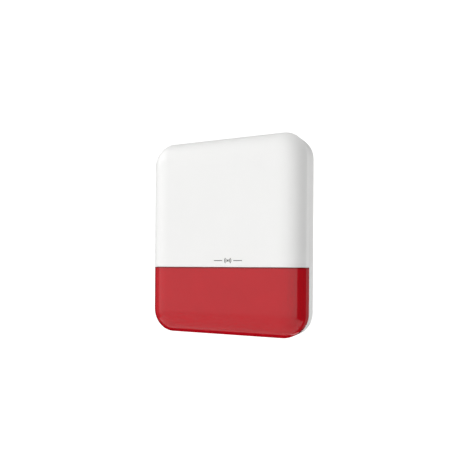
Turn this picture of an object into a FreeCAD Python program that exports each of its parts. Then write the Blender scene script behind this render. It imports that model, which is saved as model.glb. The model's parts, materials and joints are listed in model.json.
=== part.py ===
import FreeCAD
import Part
import math
import os

# Outdoor alarm siren with strobe: a white front cover and a red lens, hinged on a wall base
# that holds the siren, the batteries, the board and the strobe lamps.
# Frame: millimetres, +Z up, -Y out of the wall towards the viewer, +X to the viewer's right.
# The origin is the centre of the face that lies on the wall.

V = FreeCAD.Vector
X_AXIS = V(1, 0, 0)
Y_AXIS = V(0, 1, 0)
Z_AXIS = V(0, 0, 1)
FRONTWARD = V(0, -1, 0)

# ---------------------------------------------------------------- driving dimensions
WIDTH = 188.0
HEIGHT = 220.0
CORNER_R = 26.0
WALL = 2.5
BASE_DEPTH = 15.0              # base rim, from the wall to the parting line
PART_GAP = 0.4                 # reveal between base rim and cover
CREASE_Y = -26.5               # where the cover's straight side ends and its rounded edge begins
EDGE_R = 25.0                  # main radius of the rounded edge
EDGE_SLOPE = 60.0              # slope of that edge at the crease, from the front plane
BLEND_R = 45.0                 # larger radius that eases into the flat front
BLEND_SLOPE = 12.0
SEAM_Z = -34.3                 # line between white cover and red lens
SEAM_GAP = 0.2
EDGE_SOFT = 0.35               # rounding of the outer edges along the joins
BACK_EDGE_R = 1.0              # rounding where the rim meets the wall

COVER_REAR = -(BASE_DEPTH + PART_GAP)

HINGE_Y = -8.0                 # pivot inside the base's top edge
HINGE_Z = 105.5
HINGE_X = 55.0                 # centre of each hinge, left and right
HINGE_PIN_R = 1.6
HINGE_PLAY = 0.08
HOOK_R = 4.0
HOOK_WIDTH = 7.6
HOOK_GAP = 8.8                 # width of the notch that the hook turns in
EAR_THICK = 2.2
COVER_SWING = 60.0             # full opening, degrees

WALL_SCREW_X = 80.0
WALL_SCREW_Z = 84.0
WALL_SCREW_R = 2.5

GROMMET_X = -66.0
GROMMET_Z = -14.0
GROMMET_R = 6.0
CABLE_R = 3.0

SIREN_Z = 52.0
SIREN_R = 40.0
SIREN_FRONT = -26.0

HOLDER_X = 62.0
HOLDER_WIDTH = 22.0
HOLDER_Z0 = 2.0
HOLDER_LENGTH = 80.0
CELL_R = 8.4
CELL_LENGTH = 34.0
CELL_Y = -13.0

BOARD = (-48.0, 80.0, -31.0, -1.0)     # main board: x0, x1, z0, z1
BOARD_BACK = -10.0
BOARD_THICK = 1.6
BOARD_FRONT = BOARD_BACK - BOARD_THICK

STROBE = (-72.0, 72.0, -96.0, -46.0)   # reflector: x0, x1, z0, z1
STROBE_BOARD_BACK = -13.5
REFLECTOR_FRONT = -27.0
LAMP_X = (-48.0, 0.0, 48.0)
LAMP_Z = (-59.0, -83.0)

TONGUE_TOP = -102.0            # slotted tongue of the lens that the cover screw holds
TONGUE_THICK = 2.5
TONGUE_END = -3.2
SCREW_Y = -8.5
SCREW_R = 2.0
POCKET_HALF = 12.0

TAMPER = (70.0, -22.0)         # cover tamper switch, x and z
TAMPER_TIP = -24.0
WALL_TAMPER = (30.0, -16.0)
POWER = (-20.5, -18.0)
PAIR = (-6.0, -21.0)
TERMINAL = (-43.0, -21.0)
SOCKET_X = (-8.0, -36.0)       # siren and battery sockets
FLAT_X = -12.0                 # flat cable to the strobe
AERIAL_X = 45.6
AERIAL_COIL_R = 2.4
AERIAL_WIRE_R = 0.4
AERIAL_LIFT = 4.0              # aerial axis above the board

HOLDER_END = 1.8               # end walls of the battery holders
CONTACT_THICK = 0.45
CONTACT_COIL_R = 4.0
CONTACT_WIRE_R = 0.4
CONTACT_TURNS = 3.0
CELL_GAP = 0.05                # cell to contact
CELL_NUB = 1.2                 # step of the positive end
CELL_STARTS = (HOLDER_Z0 + 6.0, HOLDER_Z0 + 6.4 + CELL_LENGTH)

SIREN_FLANGE_BACK = -8.0
SIREN_FLANGE_THICK = 2.4
SIREN_SCREW_ANGLES = (30.0, 150.0, 270.0)
SIREN_SCREW_R = 44.5
GRILLE_BACK = -23.4
PIEZO_BACK = -9.3              # face of the brass disc that the ceramic is bonded to
LEAD_HOLE = (7.5, -6.6, 1.8)   # hole for the siren leads: x, y and radius
LEAD_SPACING = 1.8
LEAD_R = 0.65

BOARD_SCREWS = [(-44.0, -5.0), (76.0, -5.0), (-30.0, -27.5), (58.0, -27.5)]
STROBE_SCREWS = [(-68.0, -50.0), (68.0, -50.0), (-68.0, -92.0), (68.0, -92.0)]
STROBE_SEAT = -18.8            # plane under the heads of the strobe screws
REFLECTOR_SKIN = 1.4
CUP_SMALL_R = 3.2
CUP_LARGE_R = 10.4

LENS_SCREW_X = (-56.0, 0.0, 56.0)
LENS_SCREW_Z = -21.0
LIP_TOP = -29.0
LIP_END = -40.3
LUG_THICK = 2.0

INSERT_R = 2.9
INSERT_LENGTH = 8.0
INSERT_Z = TONGUE_TOP + 1.3
WASHER_TOP = TONGUE_TOP - TONGUE_THICK - 0.5
WASHER_THICK = 0.8
SCREW_HEAD_R = 4.0
SCREW_HEAD = 2.7

LEVEL_Z = 99.0
LEVEL_Y = -7.4
LEVEL_R = 4.0
LEVEL_LENGTH = 34.0
LEVEL_END = 2.0
LEVEL_WALL = 0.85

PLATE_FRONT = -WALL            # front of the back plate
SINK = 0.5                     # how far a post or rib is sunk into what it stands on
TINY = 1e-6


# ---------------------------------------------------------------- small helpers
def box(x0, x1, y0, y1, z0, z1):
    """Box between two corners, in any order along Y."""
    low = min(y0, y1)
    return Part.makeBox(x1 - x0, abs(y1 - y0), z1 - z0, V(x0, low, z0))


def rod(start, radius, length, axis):
    return Part.makeCylinder(radius, length, start, axis)


def ring(start, outer, inner, length, axis):
    over = 1.0
    hole = Part.makeCylinder(inner, length + 2 * over, start - axis * over, axis)
    return rod(start, outer, length, axis).cut(hole)


def fuse(shapes):
    """One solid from touching or overlapping shapes."""
    return shapes[0].multiFuse(list(shapes[1:])).removeSplitter()


def mirrored(shape):
    """The shape's twin on the other side of the middle plane."""
    return shape.mirror(V(0, 0, 0), X_AXIS)


def both_sides(shape):
    return [shape, mirrored(shape)]


def helix_rod(pitch, rise, radius, wire_r):
    """Coil of round wire about the Z axis, from z = 0 to z = rise."""
    helix = Part.makeHelix(pitch, rise, radius)
    section = Part.makeCircle(wire_r, V(radius, 0, 0), Y_AXIS)
    return Part.Wire(helix.Edges).makePipeShell([Part.Wire([section])], True, True)


def cross_recess(x, z, half, slot, y0, y1):
    """Two crossed bars that cut the driver recess of a screw facing the front."""
    along = box(x - half, x + half, y0, y1, z - slot, z + slot)
    across = box(x - slot, x + slot, y0, y1, z - half, z + half)
    return along.fuse(across)


def level_edges(shape, axis):
    """Edges that lie in one plane across this axis."""
    return [e for e in shape.Edges if getattr(e.BoundBox, axis + "Length") < TINY]


def depth_edges(shape):
    """Straight edges that run from front to back."""
    return [e for e in level_edges(shape, "X") if e.BoundBox.ZLength < TINY]


def rounded_face(width, height, radius, y):
    """Rounded rectangle about the middle, in the plane at this Y."""
    hx, hz = width / 2, height / 2
    cx, cz = hx - radius, hz - radius
    half = radius * math.sqrt(0.5)
    edges = []
    for k in range(4):
        turn = math.radians(90 * k)
        c, s = round(math.cos(turn)), round(math.sin(turn))
        a, b = (cx, cz) if k % 2 == 0 else (cz, cx)

        def place(p, q):
            return V(p * c - q * s, y, p * s + q * c)

        arc = Part.Arc(place(a + radius, b), place(a + half, b + half), place(a, b + radius))
        edges.append(arc.toShape())
        edges.append(Part.makeLine(place(a, b + radius), place(-a, b + radius)))
    return Part.Face(Part.Wire(edges))


def slab(inset, y0, y1):
    """The housing's outline, moved in by inset, from y0 to y1 (y1 nearer the wall)."""
    face = rounded_face(WIDTH - 2 * inset, HEIGHT - 2 * inset, CORNER_R - inset, y0)
    return face.extrude(V(0, y1 - y0, 0))


def outline_ring(inset, thick, y0, y1):
    return slab(inset, y0, y1).cut(slab(inset + thick, y0 - 1, y1 + 1))


# ---------------------------------------------------------------- the cover's outer form
def edge_profile(inset):
    """Points of the rounded edge in (distance in from the side, distance forward of the crease)."""
    steep, shallow = math.radians(EDGE_SLOPE), math.radians(BLEND_SLOPE)
    c1 = (EDGE_R * math.sin(steep), -EDGE_R * math.cos(steep))
    p2 = (c1[0] - EDGE_R * math.sin(shallow), c1[1] + EDGE_R * math.cos(shallow))
    c2 = (p2[0] + BLEND_R * math.sin(shallow), p2[1] - BLEND_R * math.cos(shallow))

    def on(centre, radius, slope):
        return (centre[0] - radius * math.sin(slope), centre[1] + radius * math.cos(slope))

    r1, r2 = EDGE_R - inset, BLEND_R - inset
    start_slope = math.asin((c1[0] - inset) / r1)
    return [
        on(c1, r1, start_slope),
        on(c1, r1, (start_slope + shallow) / 2),
        on(c1, r1, shallow),
        on(c2, r2, shallow / 2),
        on(c2, r2, 0.0),
    ]


FRONT_Y = CREASE_Y - edge_profile(0.0)[-1][1]
INNER_FRONT_Y = FRONT_Y + WALL
LUG_FRONT = INNER_FRONT_Y + 3.2


def pillow(inset, y_rear):
    """Solid with the cover's rounded front, moved in by inset, open depth starting at y_rear."""
    points = edge_profile(inset)
    xc, zc = WIDTH / 2 - CORNER_R, HEIGHT / 2 - CORNER_R
    front = CREASE_Y - points[-1][1]

    def profile(origin, direction):
        def at(a, b):
            return origin + direction * (CORNER_R - a) + V(0, CREASE_Y - b, 0)

        p = [at(a, b) for a, b in points]
        rear_outer = origin + direction * (CORNER_R - inset) + V(0, y_rear, 0)
        axis_front = origin + V(0, front, 0)
        axis_rear = origin + V(0, y_rear, 0)
        edges = [
            Part.makeLine(rear_outer, p[0]),
            Part.Arc(p[0], p[1], p[2]).toShape(),
            Part.Arc(p[2], p[3], p[4]).toShape(),
            Part.makeLine(p[4], axis_front),
            Part.makeLine(axis_front, axis_rear),
            Part.makeLine(axis_rear, rear_outer),
        ]
        return Part.Face(Part.Wire(edges))

    pieces = [box(-xc, xc, front, y_rear, -zc, zc)]
    for k, (sx, sz) in enumerate([(1, 1), (-1, 1), (-1, -1), (1, -1)]):
        turn = math.radians(90 * k)
        direction = V(round(math.cos(turn)), 0, round(math.sin(turn)))
        corner = V(sx * xc, 0, sz * zc)
        pieces.append(profile(corner, direction).revolve(corner, Y_AXIS, -90))
        run = V(0, 0, -2 * zc * sz) if k % 2 == 0 else V(2 * xc * -sx, 0, 0)
        side = profile(corner, direction)
        pieces.append(side.extrude(run))
    return fuse(pieces)


def shell(inner, thick, y_rear):
    return pillow(inner, y_rear).cut(pillow(inner + thick, y_rear + 1))


def outer_loop(shell_part, outer, axis, level):
    """Edges of the shell that lie on the outer form, in the plane where that axis equals level."""
    edges = []
    for edge in shell_part.Edges:
        bounds = edge.BoundBox
        low = getattr(bounds, axis + "Min")
        high = getattr(bounds, axis + "Max")
        if high - low > TINY or abs(low - level) > TINY:
            continue
        middle = edge.valueAt((edge.FirstParameter + edge.LastParameter) / 2)
        if outer.Shells[0].distToShape(Part.Vertex(middle))[0] < 1e-4:
            edges.append(edge)
    return edges


def softened(shell_part, join_z):
    """The shell with its rear edge and its edge along the seam at join_z rounded off."""
    outer = pillow(0.0, COVER_REAR)
    rear = outer_loop(shell_part, outer, "Y", COVER_REAR)
    seam = outer_loop(shell_part, outer, "Z", join_z)
    return shell_part.makeFillet(EDGE_SOFT, rear + seam)


# ---------------------------------------------------------------- front cover and lens
def hinge_hook():
    """Tab of the cover's top edge that hangs on a pin: open below, so the cover lifts off."""
    x0 = HINGE_X - HOOK_WIDTH / 2
    x1 = x0 + HOOK_WIDTH
    tab = box(x0, x1, COVER_REAR - 6.0, HINGE_Y + 2.0, HEIGHT / 2 - 3.2, HEIGHT / 2)
    web = box(x0, x1, COVER_REAR - 3.0, HINGE_Y, HINGE_Z - 1.0, HEIGHT / 2 - 3.0)
    eye = rod(V(x0, HINGE_Y, HINGE_Z), HOOK_R, HOOK_WIDTH, X_AXIS)
    bore_r = HINGE_PIN_R + HINGE_PLAY
    bore = rod(V(x0 - 1, HINGE_Y, HINGE_Z), bore_r, HOOK_WIDTH + 2, X_AXIS)
    mouth = box(x0 - 1, x1 + 1, HINGE_Y - bore_r, HINGE_Y + bore_r, HINGE_Z - 10, HINGE_Z)
    return fuse([tab, web, eye]).cut(bore).cut(mouth)


def front_cover():
    lower_edge = SEAM_Z + SEAM_GAP / 2
    keep = box(-WIDTH, WIDTH, FRONT_Y - 5, 0, lower_edge, HEIGHT)
    body = softened(shell(0.0, WALL, COVER_REAR).common(keep), lower_edge)
    lip_zone = box(-WIDTH, WIDTH, FRONT_Y - 5, COVER_REAR - 4, SEAM_Z, LIP_TOP)
    lip_upper = shell(WALL - 0.1, 1.9, COVER_REAR).common(lip_zone)
    lap_zone = box(-WIDTH, WIDTH, FRONT_Y - 5, COVER_REAR - 4, LIP_END, SEAM_Z)
    lip_lower = shell(WALL + 0.15, 1.65, COVER_REAR).common(lap_zone)
    posts = [rod(V(TAMPER[0], FRONT_Y + 1, TAMPER[1]), 3.0, TAMPER_TIP - 0.1 - FRONT_Y - 1, Y_AXIS)]
    for x in LENS_SCREW_X:
        boss_start = V(x, FRONT_Y + 1, LENS_SCREW_Z)
        posts.append(rod(boss_start, 4.0, LUG_FRONT - FRONT_Y - 1, Y_AXIS))
    cover = fuse([body, lip_upper, lip_lower] + both_sides(hinge_hook()) + posts + cover_ribs())
    for x in LENS_SCREW_X:
        cover = cover.cut(rod(V(x, LUG_FRONT - 4.0, LENS_SCREW_Z), 1.2, 10.0, Y_AXIS))
    return cover


def cover_ribs():
    """Low stiffening ribs on the inside of the cover's front."""
    ribs = []
    rib_y = INNER_FRONT_Y + 1.6
    for x in (-60.0, -30.0, 0.0, 30.0, 60.0):
        ribs.append(box(x - 0.7, x + 0.7, INNER_FRONT_Y - 1, rib_y, -14.0, 84.0))
    for z in (0.0, 28.0, 56.0, 80.0):
        ribs.append(box(-66.0, 66.0, INNER_FRONT_Y - 1, rib_y, z - 0.7, z + 0.7))
    return ribs


def lens_lug(x):
    """Tab of the lens that is screwed to the inside of the cover, clear of the overlap lip."""
    half = 6.5
    root = box(x - half, x + half, FRONT_Y + 1, LUG_FRONT + LUG_THICK, -46.0, -42.0)
    tab = box(x - half, x + half, LUG_FRONT, LUG_FRONT + LUG_THICK, -46.0, -15.5)
    hole = rod(V(x, LUG_FRONT - 1, LENS_SCREW_Z), 1.6, 10.0, Y_AXIS)
    return root.fuse(tab).cut(hole)


def strobe_lens():
    upper_edge = SEAM_Z - SEAM_GAP / 2
    keep = box(-WIDTH, WIDTH, FRONT_Y - 5, 0, -HEIGHT, upper_edge)
    body = softened(shell(0.0, WALL, COVER_REAR).common(keep), upper_edge)
    half = POCKET_HALF - 2.0
    step_front = COVER_REAR - 2.6
    step = box(-half, half, step_front, COVER_REAR - 0.3, -HEIGHT / 2 + 1, TONGUE_TOP)
    tongue = box(-half, half, step_front, TONGUE_END, TONGUE_TOP - TONGUE_THICK, TONGUE_TOP)
    slot_r = SCREW_R + 0.4
    slot = box(-slot_r, slot_r, SCREW_Y, 0, TONGUE_TOP - 5, TONGUE_TOP + 1)
    slot_end = rod(V(0, SCREW_Y, TONGUE_TOP - 5), slot_r, 6.0, Z_AXIS)
    lens = fuse([body, step, tongue] + [lens_lug(x) for x in LENS_SCREW_X])
    return lens.cut(slot).cut(slot_end)


def lens_screws():
    screws = []
    head_y = LUG_FRONT + LUG_THICK
    for x in LENS_SCREW_X:
        start = V(x, head_y, LENS_SCREW_Z)
        head = rod(start, 2.6, 1.6, Y_AXIS)
        shank = rod(start, 1.15, 4.8, FRONTWARD)
        recess = cross_recess(x, LENS_SCREW_Z, 1.5, 0.3, head_y + 0.7, head_y + 2)
        screws.append(head.fuse(shank).cut(recess))
    return screws


# ---------------------------------------------------------------- base tray
def hinge_ears():
    """Pin of one hinge between two ears under the base's top edge."""
    inner = HINGE_X - HOOK_GAP / 2 - EAR_THICK
    outer = HINGE_X + HOOK_GAP / 2
    parts = [rod(V(inner, HINGE_Y, HINGE_Z), HINGE_PIN_R, outer - inner + EAR_THICK, X_AXIS)]
    for x in (inner, outer):
        parts.append(box(x, x + EAR_THICK, HINGE_Y - 3.4, PLATE_FRONT + SINK, HINGE_Z - 4.0, 109.0))
    return fuse(parts)


def hinge_notch():
    """Room in the base's top edge for a hook to turn."""
    x0 = HINGE_X - HOOK_GAP / 2
    swept = rod(V(x0, HINGE_Y, HINGE_Z), HOOK_R + 1.2, HOOK_GAP, X_AXIS)
    ahead = box(x0, x0 + HOOK_GAP, -30, HINGE_Y, HINGE_Z - 5.0, HEIGHT / 2 + 1)
    above = box(x0, x0 + HOOK_GAP, HINGE_Y - 1, HINGE_Y + 3.6, HINGE_Z, HEIGHT / 2 + 1)
    return fuse([swept, ahead, above])


def hinge_relief():
    """Room that the rear edge of the cover sweeps as it lifts over the base's top edge."""
    clear = 0.3
    above = box(-WIDTH, WIDTH, COVER_REAR - 1, COVER_REAR + 1, HINGE_Z + 0.2, HEIGHT)
    outer = rounded_face(WIDTH + 2 * clear, HEIGHT + 2 * clear, CORNER_R + clear, COVER_REAR)
    inset = WALL + clear
    inner = rounded_face(WIDTH - 2 * inset, HEIGHT - 2 * inset, CORNER_R - inset, COVER_REAR)
    band = outer.cut(inner).common(above)
    return band.revolve(V(0, HINGE_Y, HINGE_Z), X_AXIS, -(COVER_SWING + 4))


def standoff(x, z, top, radius=3.2, hole=1.1):
    """Screw post on the plate, drilled from its top to just above the plate."""
    floor = PLATE_FRONT - 0.7
    post = rod(V(x, PLATE_FRONT + SINK, z), radius, PLATE_FRONT + SINK - top, FRONTWARD)
    return post.cut(rod(V(x, top - 1, z), hole, floor - top + 1, Y_AXIS))


def siren_screw_places():
    places = []
    for angle in SIREN_SCREW_ANGLES:
        turn = math.radians(angle)
        places.append((SIREN_SCREW_R * math.cos(turn), SIREN_Z + SIREN_SCREW_R * math.sin(turn)))
    return places


def sound_slots():
    """Louvres in the underside of the rim."""
    slots = []
    for k in range(8):
        x = 24.0 + 5.0 * k
        slot = box(x - 1.2, x + 1.2, -12.5, -4.5, -HEIGHT / 2 - 1, -HEIGHT / 2 + 5)
        slots.extend(both_sides(slot))
    return slots


def screw_pocket():
    """Walls of the recess for the cover screw, with the boss for its insert above."""
    outer = box(-POCKET_HALF - 1.8, POCKET_HALF + 1.8, -BASE_DEPTH, -1.5, -108.5, -99.2)
    inner = box(-POCKET_HALF, POCKET_HALF, -BASE_DEPTH - 1, -WALL, -109.5, TONGUE_TOP + 0.3)
    boss = rod(V(0, SCREW_Y, TONGUE_TOP + 0.3), 5.0, 13.0, Z_AXIS)
    web = box(-1.5, 1.5, SCREW_Y, -1.5, TONGUE_TOP + 0.3, TONGUE_TOP + 13.0)
    return outer.cut(inner).fuse(boss).fuse(web)


def base_ribs():
    """Ribs on the plate between the fittings."""
    top = PLATE_FRONT - 2.0
    ribs = []
    for x in (-34.0, 34.0):
        ribs.append(box(x - 0.8, x + 0.8, top, PLATE_FRONT + SINK, -92.0, -36.0))
    for z in (-40.0, 0.8):
        ribs.append(box(-86.0, 86.0, top, PLATE_FRONT + SINK, z - 0.8, z + 0.8))
    for x in (-86.0, 86.0):
        ribs.append(box(x - 0.8, x + 0.8, top, PLATE_FRONT + SINK, -74.0, 74.0))
    return ribs


def level_saddles():
    saddles = []
    for x in (-11.0, 11.0):
        block = box(x - 2.0, x + 2.0, -8.0, PLATE_FRONT + SINK, LEVEL_Z - 5.6, LEVEL_Z + 5.6)
        saddles.append(block)
    return saddles


def wall_screw_places():
    return [(x, z) for x in (-WALL_SCREW_X, WALL_SCREW_X) for z in (-WALL_SCREW_Z, WALL_SCREW_Z)]


def tray_shell():
    """Back plate, rim and the spigot that locates the cover."""
    block = slab(0.0, -BASE_DEPTH, 0.0)
    back_edges = [e for e in block.Edges if abs(e.BoundBox.YMin) < TINY]
    block = block.makeFillet(BACK_EDGE_R, back_edges)
    front_edges = [e for e in block.Edges if abs(e.BoundBox.YMax + BASE_DEPTH) < TINY]
    block = block.makeFillet(EDGE_SOFT, front_edges)
    tray = block.cut(slab(WALL, -BASE_DEPTH - 1, PLATE_FRONT))
    seat = outline_ring(WALL - 0.1, 2.4, -BASE_DEPTH, -8.0)
    spigot = outline_ring(WALL + 0.5, 1.8, -BASE_DEPTH - 4.0, -BASE_DEPTH)
    notch = box(-POCKET_HALF, POCKET_HALF, -30, -WALL, -HEIGHT / 2 - 1, -101.0)
    return fuse([tray, seat, spigot]).cut(notch).cut(hinge_relief())


def base_tray():
    parts = [tray_shell().cut(hinge_notch()).cut(mirrored(hinge_notch())), screw_pocket()]
    parts += both_sides(hinge_ears()) + base_ribs() + level_saddles()
    parts += [rod(V(x, PLATE_FRONT + SINK, z), 6.0, 3.0, FRONTWARD) for x, z in wall_screw_places()]
    parts += [standoff(x, z, BOARD_BACK) for x, z in BOARD_SCREWS]
    parts += [standoff(x, z, STROBE_BOARD_BACK) for x, z in STROBE_SCREWS]
    parts += [standoff(x, z, SIREN_FLANGE_BACK, 3.6) for x, z in siren_screw_places()]
    tray = fuse(parts)
    cuts = sound_slots()
    cuts += [rod(V(x, 1, z), WALL_SCREW_R, 12.0, FRONTWARD) for x, z in wall_screw_places()]
    cuts.append(rod(V(GROMMET_X, 1, GROMMET_Z), GROMMET_R, 12.0, FRONTWARD))
    cuts.append(rod(V(WALL_TAMPER[0], 1, WALL_TAMPER[1]), 2.3, 6.0, FRONTWARD))
    cuts.append(rod(V(-LEVEL_LENGTH, LEVEL_Y, LEVEL_Z), LEVEL_R, 2 * LEVEL_LENGTH, X_AXIS))
    cuts.append(rod(V(0, SCREW_Y, TONGUE_TOP), INSERT_R, 20.0, Z_AXIS))
    for cut in cuts:
        tray = tray.cut(cut)
    return tray


# ---------------------------------------------------------------- cover screw
def screw_insert():
    """Brass insert pressed into the boss, with a groove that the plastic holds."""
    body = ring(V(0, SCREW_Y, INSERT_Z), INSERT_R, SCREW_R + 0.08, INSERT_LENGTH, Z_AXIS)
    groove = ring(V(0, SCREW_Y, INSERT_Z + 3.2), INSERT_R + 1, INSERT_R - 0.5, 1.6, Z_AXIS)
    return body.cut(groove)


def screw_washer():
    """Washer that keeps the screw with the cover's tongue."""
    return ring(V(0, SCREW_Y, WASHER_TOP - WASHER_THICK), 4.3, SCREW_R + 0.06, WASHER_THICK, Z_AXIS)


def cover_screw():
    """Cross-headed screw driven from below through the tongue's slot into the insert."""
    under = WASHER_TOP - WASHER_THICK - 0.02
    head = rod(V(0, SCREW_Y, under - SCREW_HEAD), SCREW_HEAD_R, SCREW_HEAD, Z_AXIS)
    bottom = under - SCREW_HEAD
    lower = [e for e in level_edges(head, "Z") if abs(e.BoundBox.ZMax - bottom) < TINY]
    head = head.makeFillet(0.8, lower)
    shank = rod(V(0, SCREW_Y, under), SCREW_R, INSERT_Z + INSERT_LENGTH - under, Z_AXIS)
    screw = head.fuse(shank)
    for half_x, half_y in ((2.2, 0.45), (0.45, 2.2)):
        arm = box(-half_x, half_x, SCREW_Y - half_y, SCREW_Y + half_y, bottom - 2.4, bottom + 1.6)
        screw = screw.cut(arm)
    return screw


# ---------------------------------------------------------------- siren
def turned(points, x, z):
    """Solid of revolution about a front-to-back axis through (x, z) from (radius, y) points."""
    wire = Part.makePolygon([V(x + r, y, z) for r, y in points + points[:1]])
    return Part.Face(wire).revolve(V(x, 0, z), Y_AXIS, 360)


def lead_hole():
    """Way in for the siren leads, from below into the piezo chamber."""
    x, y, radius = LEAD_HOLE
    return rod(V(x, y, 0), radius, SIREN_Z - 20.0, Z_AXIS)


def siren_horn():
    """Moulded cup: piezo seat behind, short horn in front, with three fixing ears."""
    outer = [(27.0, -2.7), (SIREN_R - 1.5, -2.7), (SIREN_R, -4.2), (SIREN_R, SIREN_FRONT)]
    lip = SIREN_R - 2.0
    mouth = [(lip, SIREN_FRONT), (lip, GRILLE_BACK), (33.0, GRILLE_BACK), (30.0, -19.0)]
    throat = [(22.0, -14.0), (14.0, -12.0), (14.0, -10.4), (24.0, -10.4), (24.0, -8.6)]
    seat = [(27.0, -8.6)]
    cup = turned(outer + mouth + throat + seat, 0.0, SIREN_Z)
    ears = []
    ear_front = SIREN_FLANGE_BACK - SIREN_FLANGE_THICK
    for x, z in siren_screw_places():
        angle = math.degrees(math.atan2(z - SIREN_Z, x))
        bar = box(SIREN_R - 1.5, SIREN_SCREW_R, ear_front, SIREN_FLANGE_BACK, -4.0, 4.0)
        bar.rotate(V(0, 0, 0), Y_AXIS, -angle)
        bar.translate(V(0, 0, SIREN_Z))
        ear = bar.fuse(rod(V(x, SIREN_FLANGE_BACK, z), 4.0, SIREN_FLANGE_THICK, FRONTWARD))
        ears.append(ear.cut(rod(V(x, 0, z), 1.5, 20.0, FRONTWARD)))
    core = [(29.0, -1.0), (37.6, -1.0), (37.6, -20.5), (34.6, -20.5), (29.0, -12.5)]
    horn = fuse([cup.cut(turned(core, 0.0, SIREN_Z))] + ears)
    return horn.cut(lead_hole())


def siren_grille():
    """Disc in the horn's mouth with rings of slots."""
    disc = rod(V(0, GRILLE_BACK, SIREN_Z), SIREN_R - 2.15, 2.0, FRONTWARD)
    hub = rod(V(0, GRILLE_BACK - 2.0, SIREN_Z), 8.0, 1.0, FRONTWARD)
    disc = disc.fuse(hub)
    half_slot = 1.6
    for radius in (12.5, 18.5, 24.5, 30.5):
        slot = ring(V(0, -20, SIREN_Z), radius + half_slot, radius - half_slot, 10.0, FRONTWARD)
        for angle in (15.0, 75.0, 135.0):
            spoke = box(-SIREN_R, SIREN_R, -40, 0, -half_slot, half_slot)
            spoke.rotate(V(0, 0, 0), Y_AXIS, angle)
            spoke.translate(V(0, 0, SIREN_Z))
            slot = slot.cut(spoke)
        disc = disc.cut(slot)
    return disc


def siren_seal():
    """Rubber ring that presses the piezo disc against the horn."""
    return ring(V(0, PIEZO_BACK + 0.7, SIREN_Z), 24.0, 21.0, 1.0, FRONTWARD)


def piezo_plate():
    """Brass disc, stepped where the seal bears on it."""
    edge = rod(V(0, PIEZO_BACK - 0.3, SIREN_Z), 23.6, 0.3, FRONTWARD)
    return edge.fuse(rod(V(0, PIEZO_BACK - 0.3, SIREN_Z), 20.5, 0.3, Y_AXIS))


def piezo_ceramic():
    return rod(V(0, PIEZO_BACK, SIREN_Z), 15.0, 0.4, Y_AXIS)


def siren_back_cap():
    """Cap that closes the piezo chamber against the plate."""
    back = V(0, PLATE_FRONT - 0.2, SIREN_Z)
    rim = ring(back, 26.8, 20.6, 5.9, FRONTWARD)
    cap = rod(back, 26.8, 1.6, FRONTWARD).fuse(rim)
    return cap.cut(lead_hole())


# ---------------------------------------------------------------- batteries
def battery_holder(x):
    """Open trough for two cells end to end."""
    z1 = HOLDER_Z0 + HOLDER_LENGTH
    half = HOLDER_WIDTH / 2
    bed_r = CELL_R + 0.3
    inner = HOLDER_Z0 + HOLDER_END
    holder = box(x - half, x + half, CELL_Y - 3.0, PLATE_FRONT, HOLDER_Z0, z1)
    holder = holder.cut(box(x - bed_r, x + bed_r, -30, CELL_Y, inner, z1 - HOLDER_END))
    holder = holder.cut(rod(V(x, CELL_Y, inner), bed_r, z1 - HOLDER_END - inner, Z_AXIS))
    for z in (12.0, 50.0):
        finger_gap = box(x - half - 1, x + half + 1, -30, CELL_Y + 2.0, z, z + 22.0)
        holder = holder.cut(finger_gap)
    ends = []
    for z in (HOLDER_Z0, z1 - HOLDER_END):
        ends.append(box(x - half, x + half, CELL_Y - 7.0, PLATE_FRONT, z, z + HOLDER_END))
    return fuse([holder] + ends)


def cell(x, z0):
    """Lithium cell: can with a stepped positive end on top."""
    body = CELL_LENGTH - CELL_NUB
    can = rod(V(x, CELL_Y, z0), CELL_R, body, Z_AXIS)
    can = can.makeFillet(0.7, level_edges(can, "Z"))
    nub = rod(V(x, CELL_Y, z0 + body), 3.2, CELL_NUB, Z_AXIS)
    return can.fuse(nub)


def battery_springs():
    """Coil contacts between each holder's lower end and the cell's flat end."""
    low = HOLDER_Z0 + HOLDER_END + CONTACT_THICK + CELL_GAP
    height = CELL_STARTS[0] - CELL_GAP - low - 2 * CONTACT_WIRE_R
    coil = helix_rod(height / CONTACT_TURNS, height, CONTACT_COIL_R, CONTACT_WIRE_R)
    coil.translate(V(-HOLDER_X, CELL_Y, low + CONTACT_WIRE_R))
    return both_sides(coil)


def battery_contacts():
    """Sprung-plate bases below the coils and flat plates at the top of each holder."""
    plates = []
    low = HOLDER_Z0 + HOLDER_END
    top = HOLDER_Z0 + HOLDER_LENGTH - HOLDER_END
    plate_low = top - CONTACT_THICK
    button_low = CELL_STARTS[1] + CELL_LENGTH + CELL_GAP
    y0, y1 = CELL_Y - 5.0, CELL_Y + 5.0
    for x in (-HOLDER_X, HOLDER_X):
        plates.append(box(x - 6, x + 6, y0, y1, low, low + CONTACT_THICK))
        plate = box(x - 6, x + 6, y0, y1, plate_low, top - 0.02)
        button = rod(V(x, CELL_Y, button_low), 2.6, plate_low - button_low, Z_AXIS)
        plates.append(plate.fuse(button))
    return plates


# ---------------------------------------------------------------- main board and what is on it
def screw_with_head(x, z, seat, length=7.0, head_r=2.8, shank_r=1.05):
    """Pan-head screw driven from the front, its head on the plane y = seat."""
    head = rod(V(x, seat, z), head_r, 1.7, FRONTWARD)
    shank = rod(V(x, seat, z), shank_r, length, Y_AXIS)
    return head.fuse(shank).cut(cross_recess(x, z, 1.6, 0.32, seat - 3, seat - 0.8))


def main_board():
    x0, x1, z0, z1 = BOARD
    board = box(x0, x1, BOARD_FRONT, BOARD_BACK, z0, z1)
    board = board.makeFillet(2.0, depth_edges(board))
    for x, z in BOARD_SCREWS:
        board = board.cut(rod(V(x, BOARD_FRONT - 1, z), 1.4, 5.0, Y_AXIS))
    return board


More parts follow.
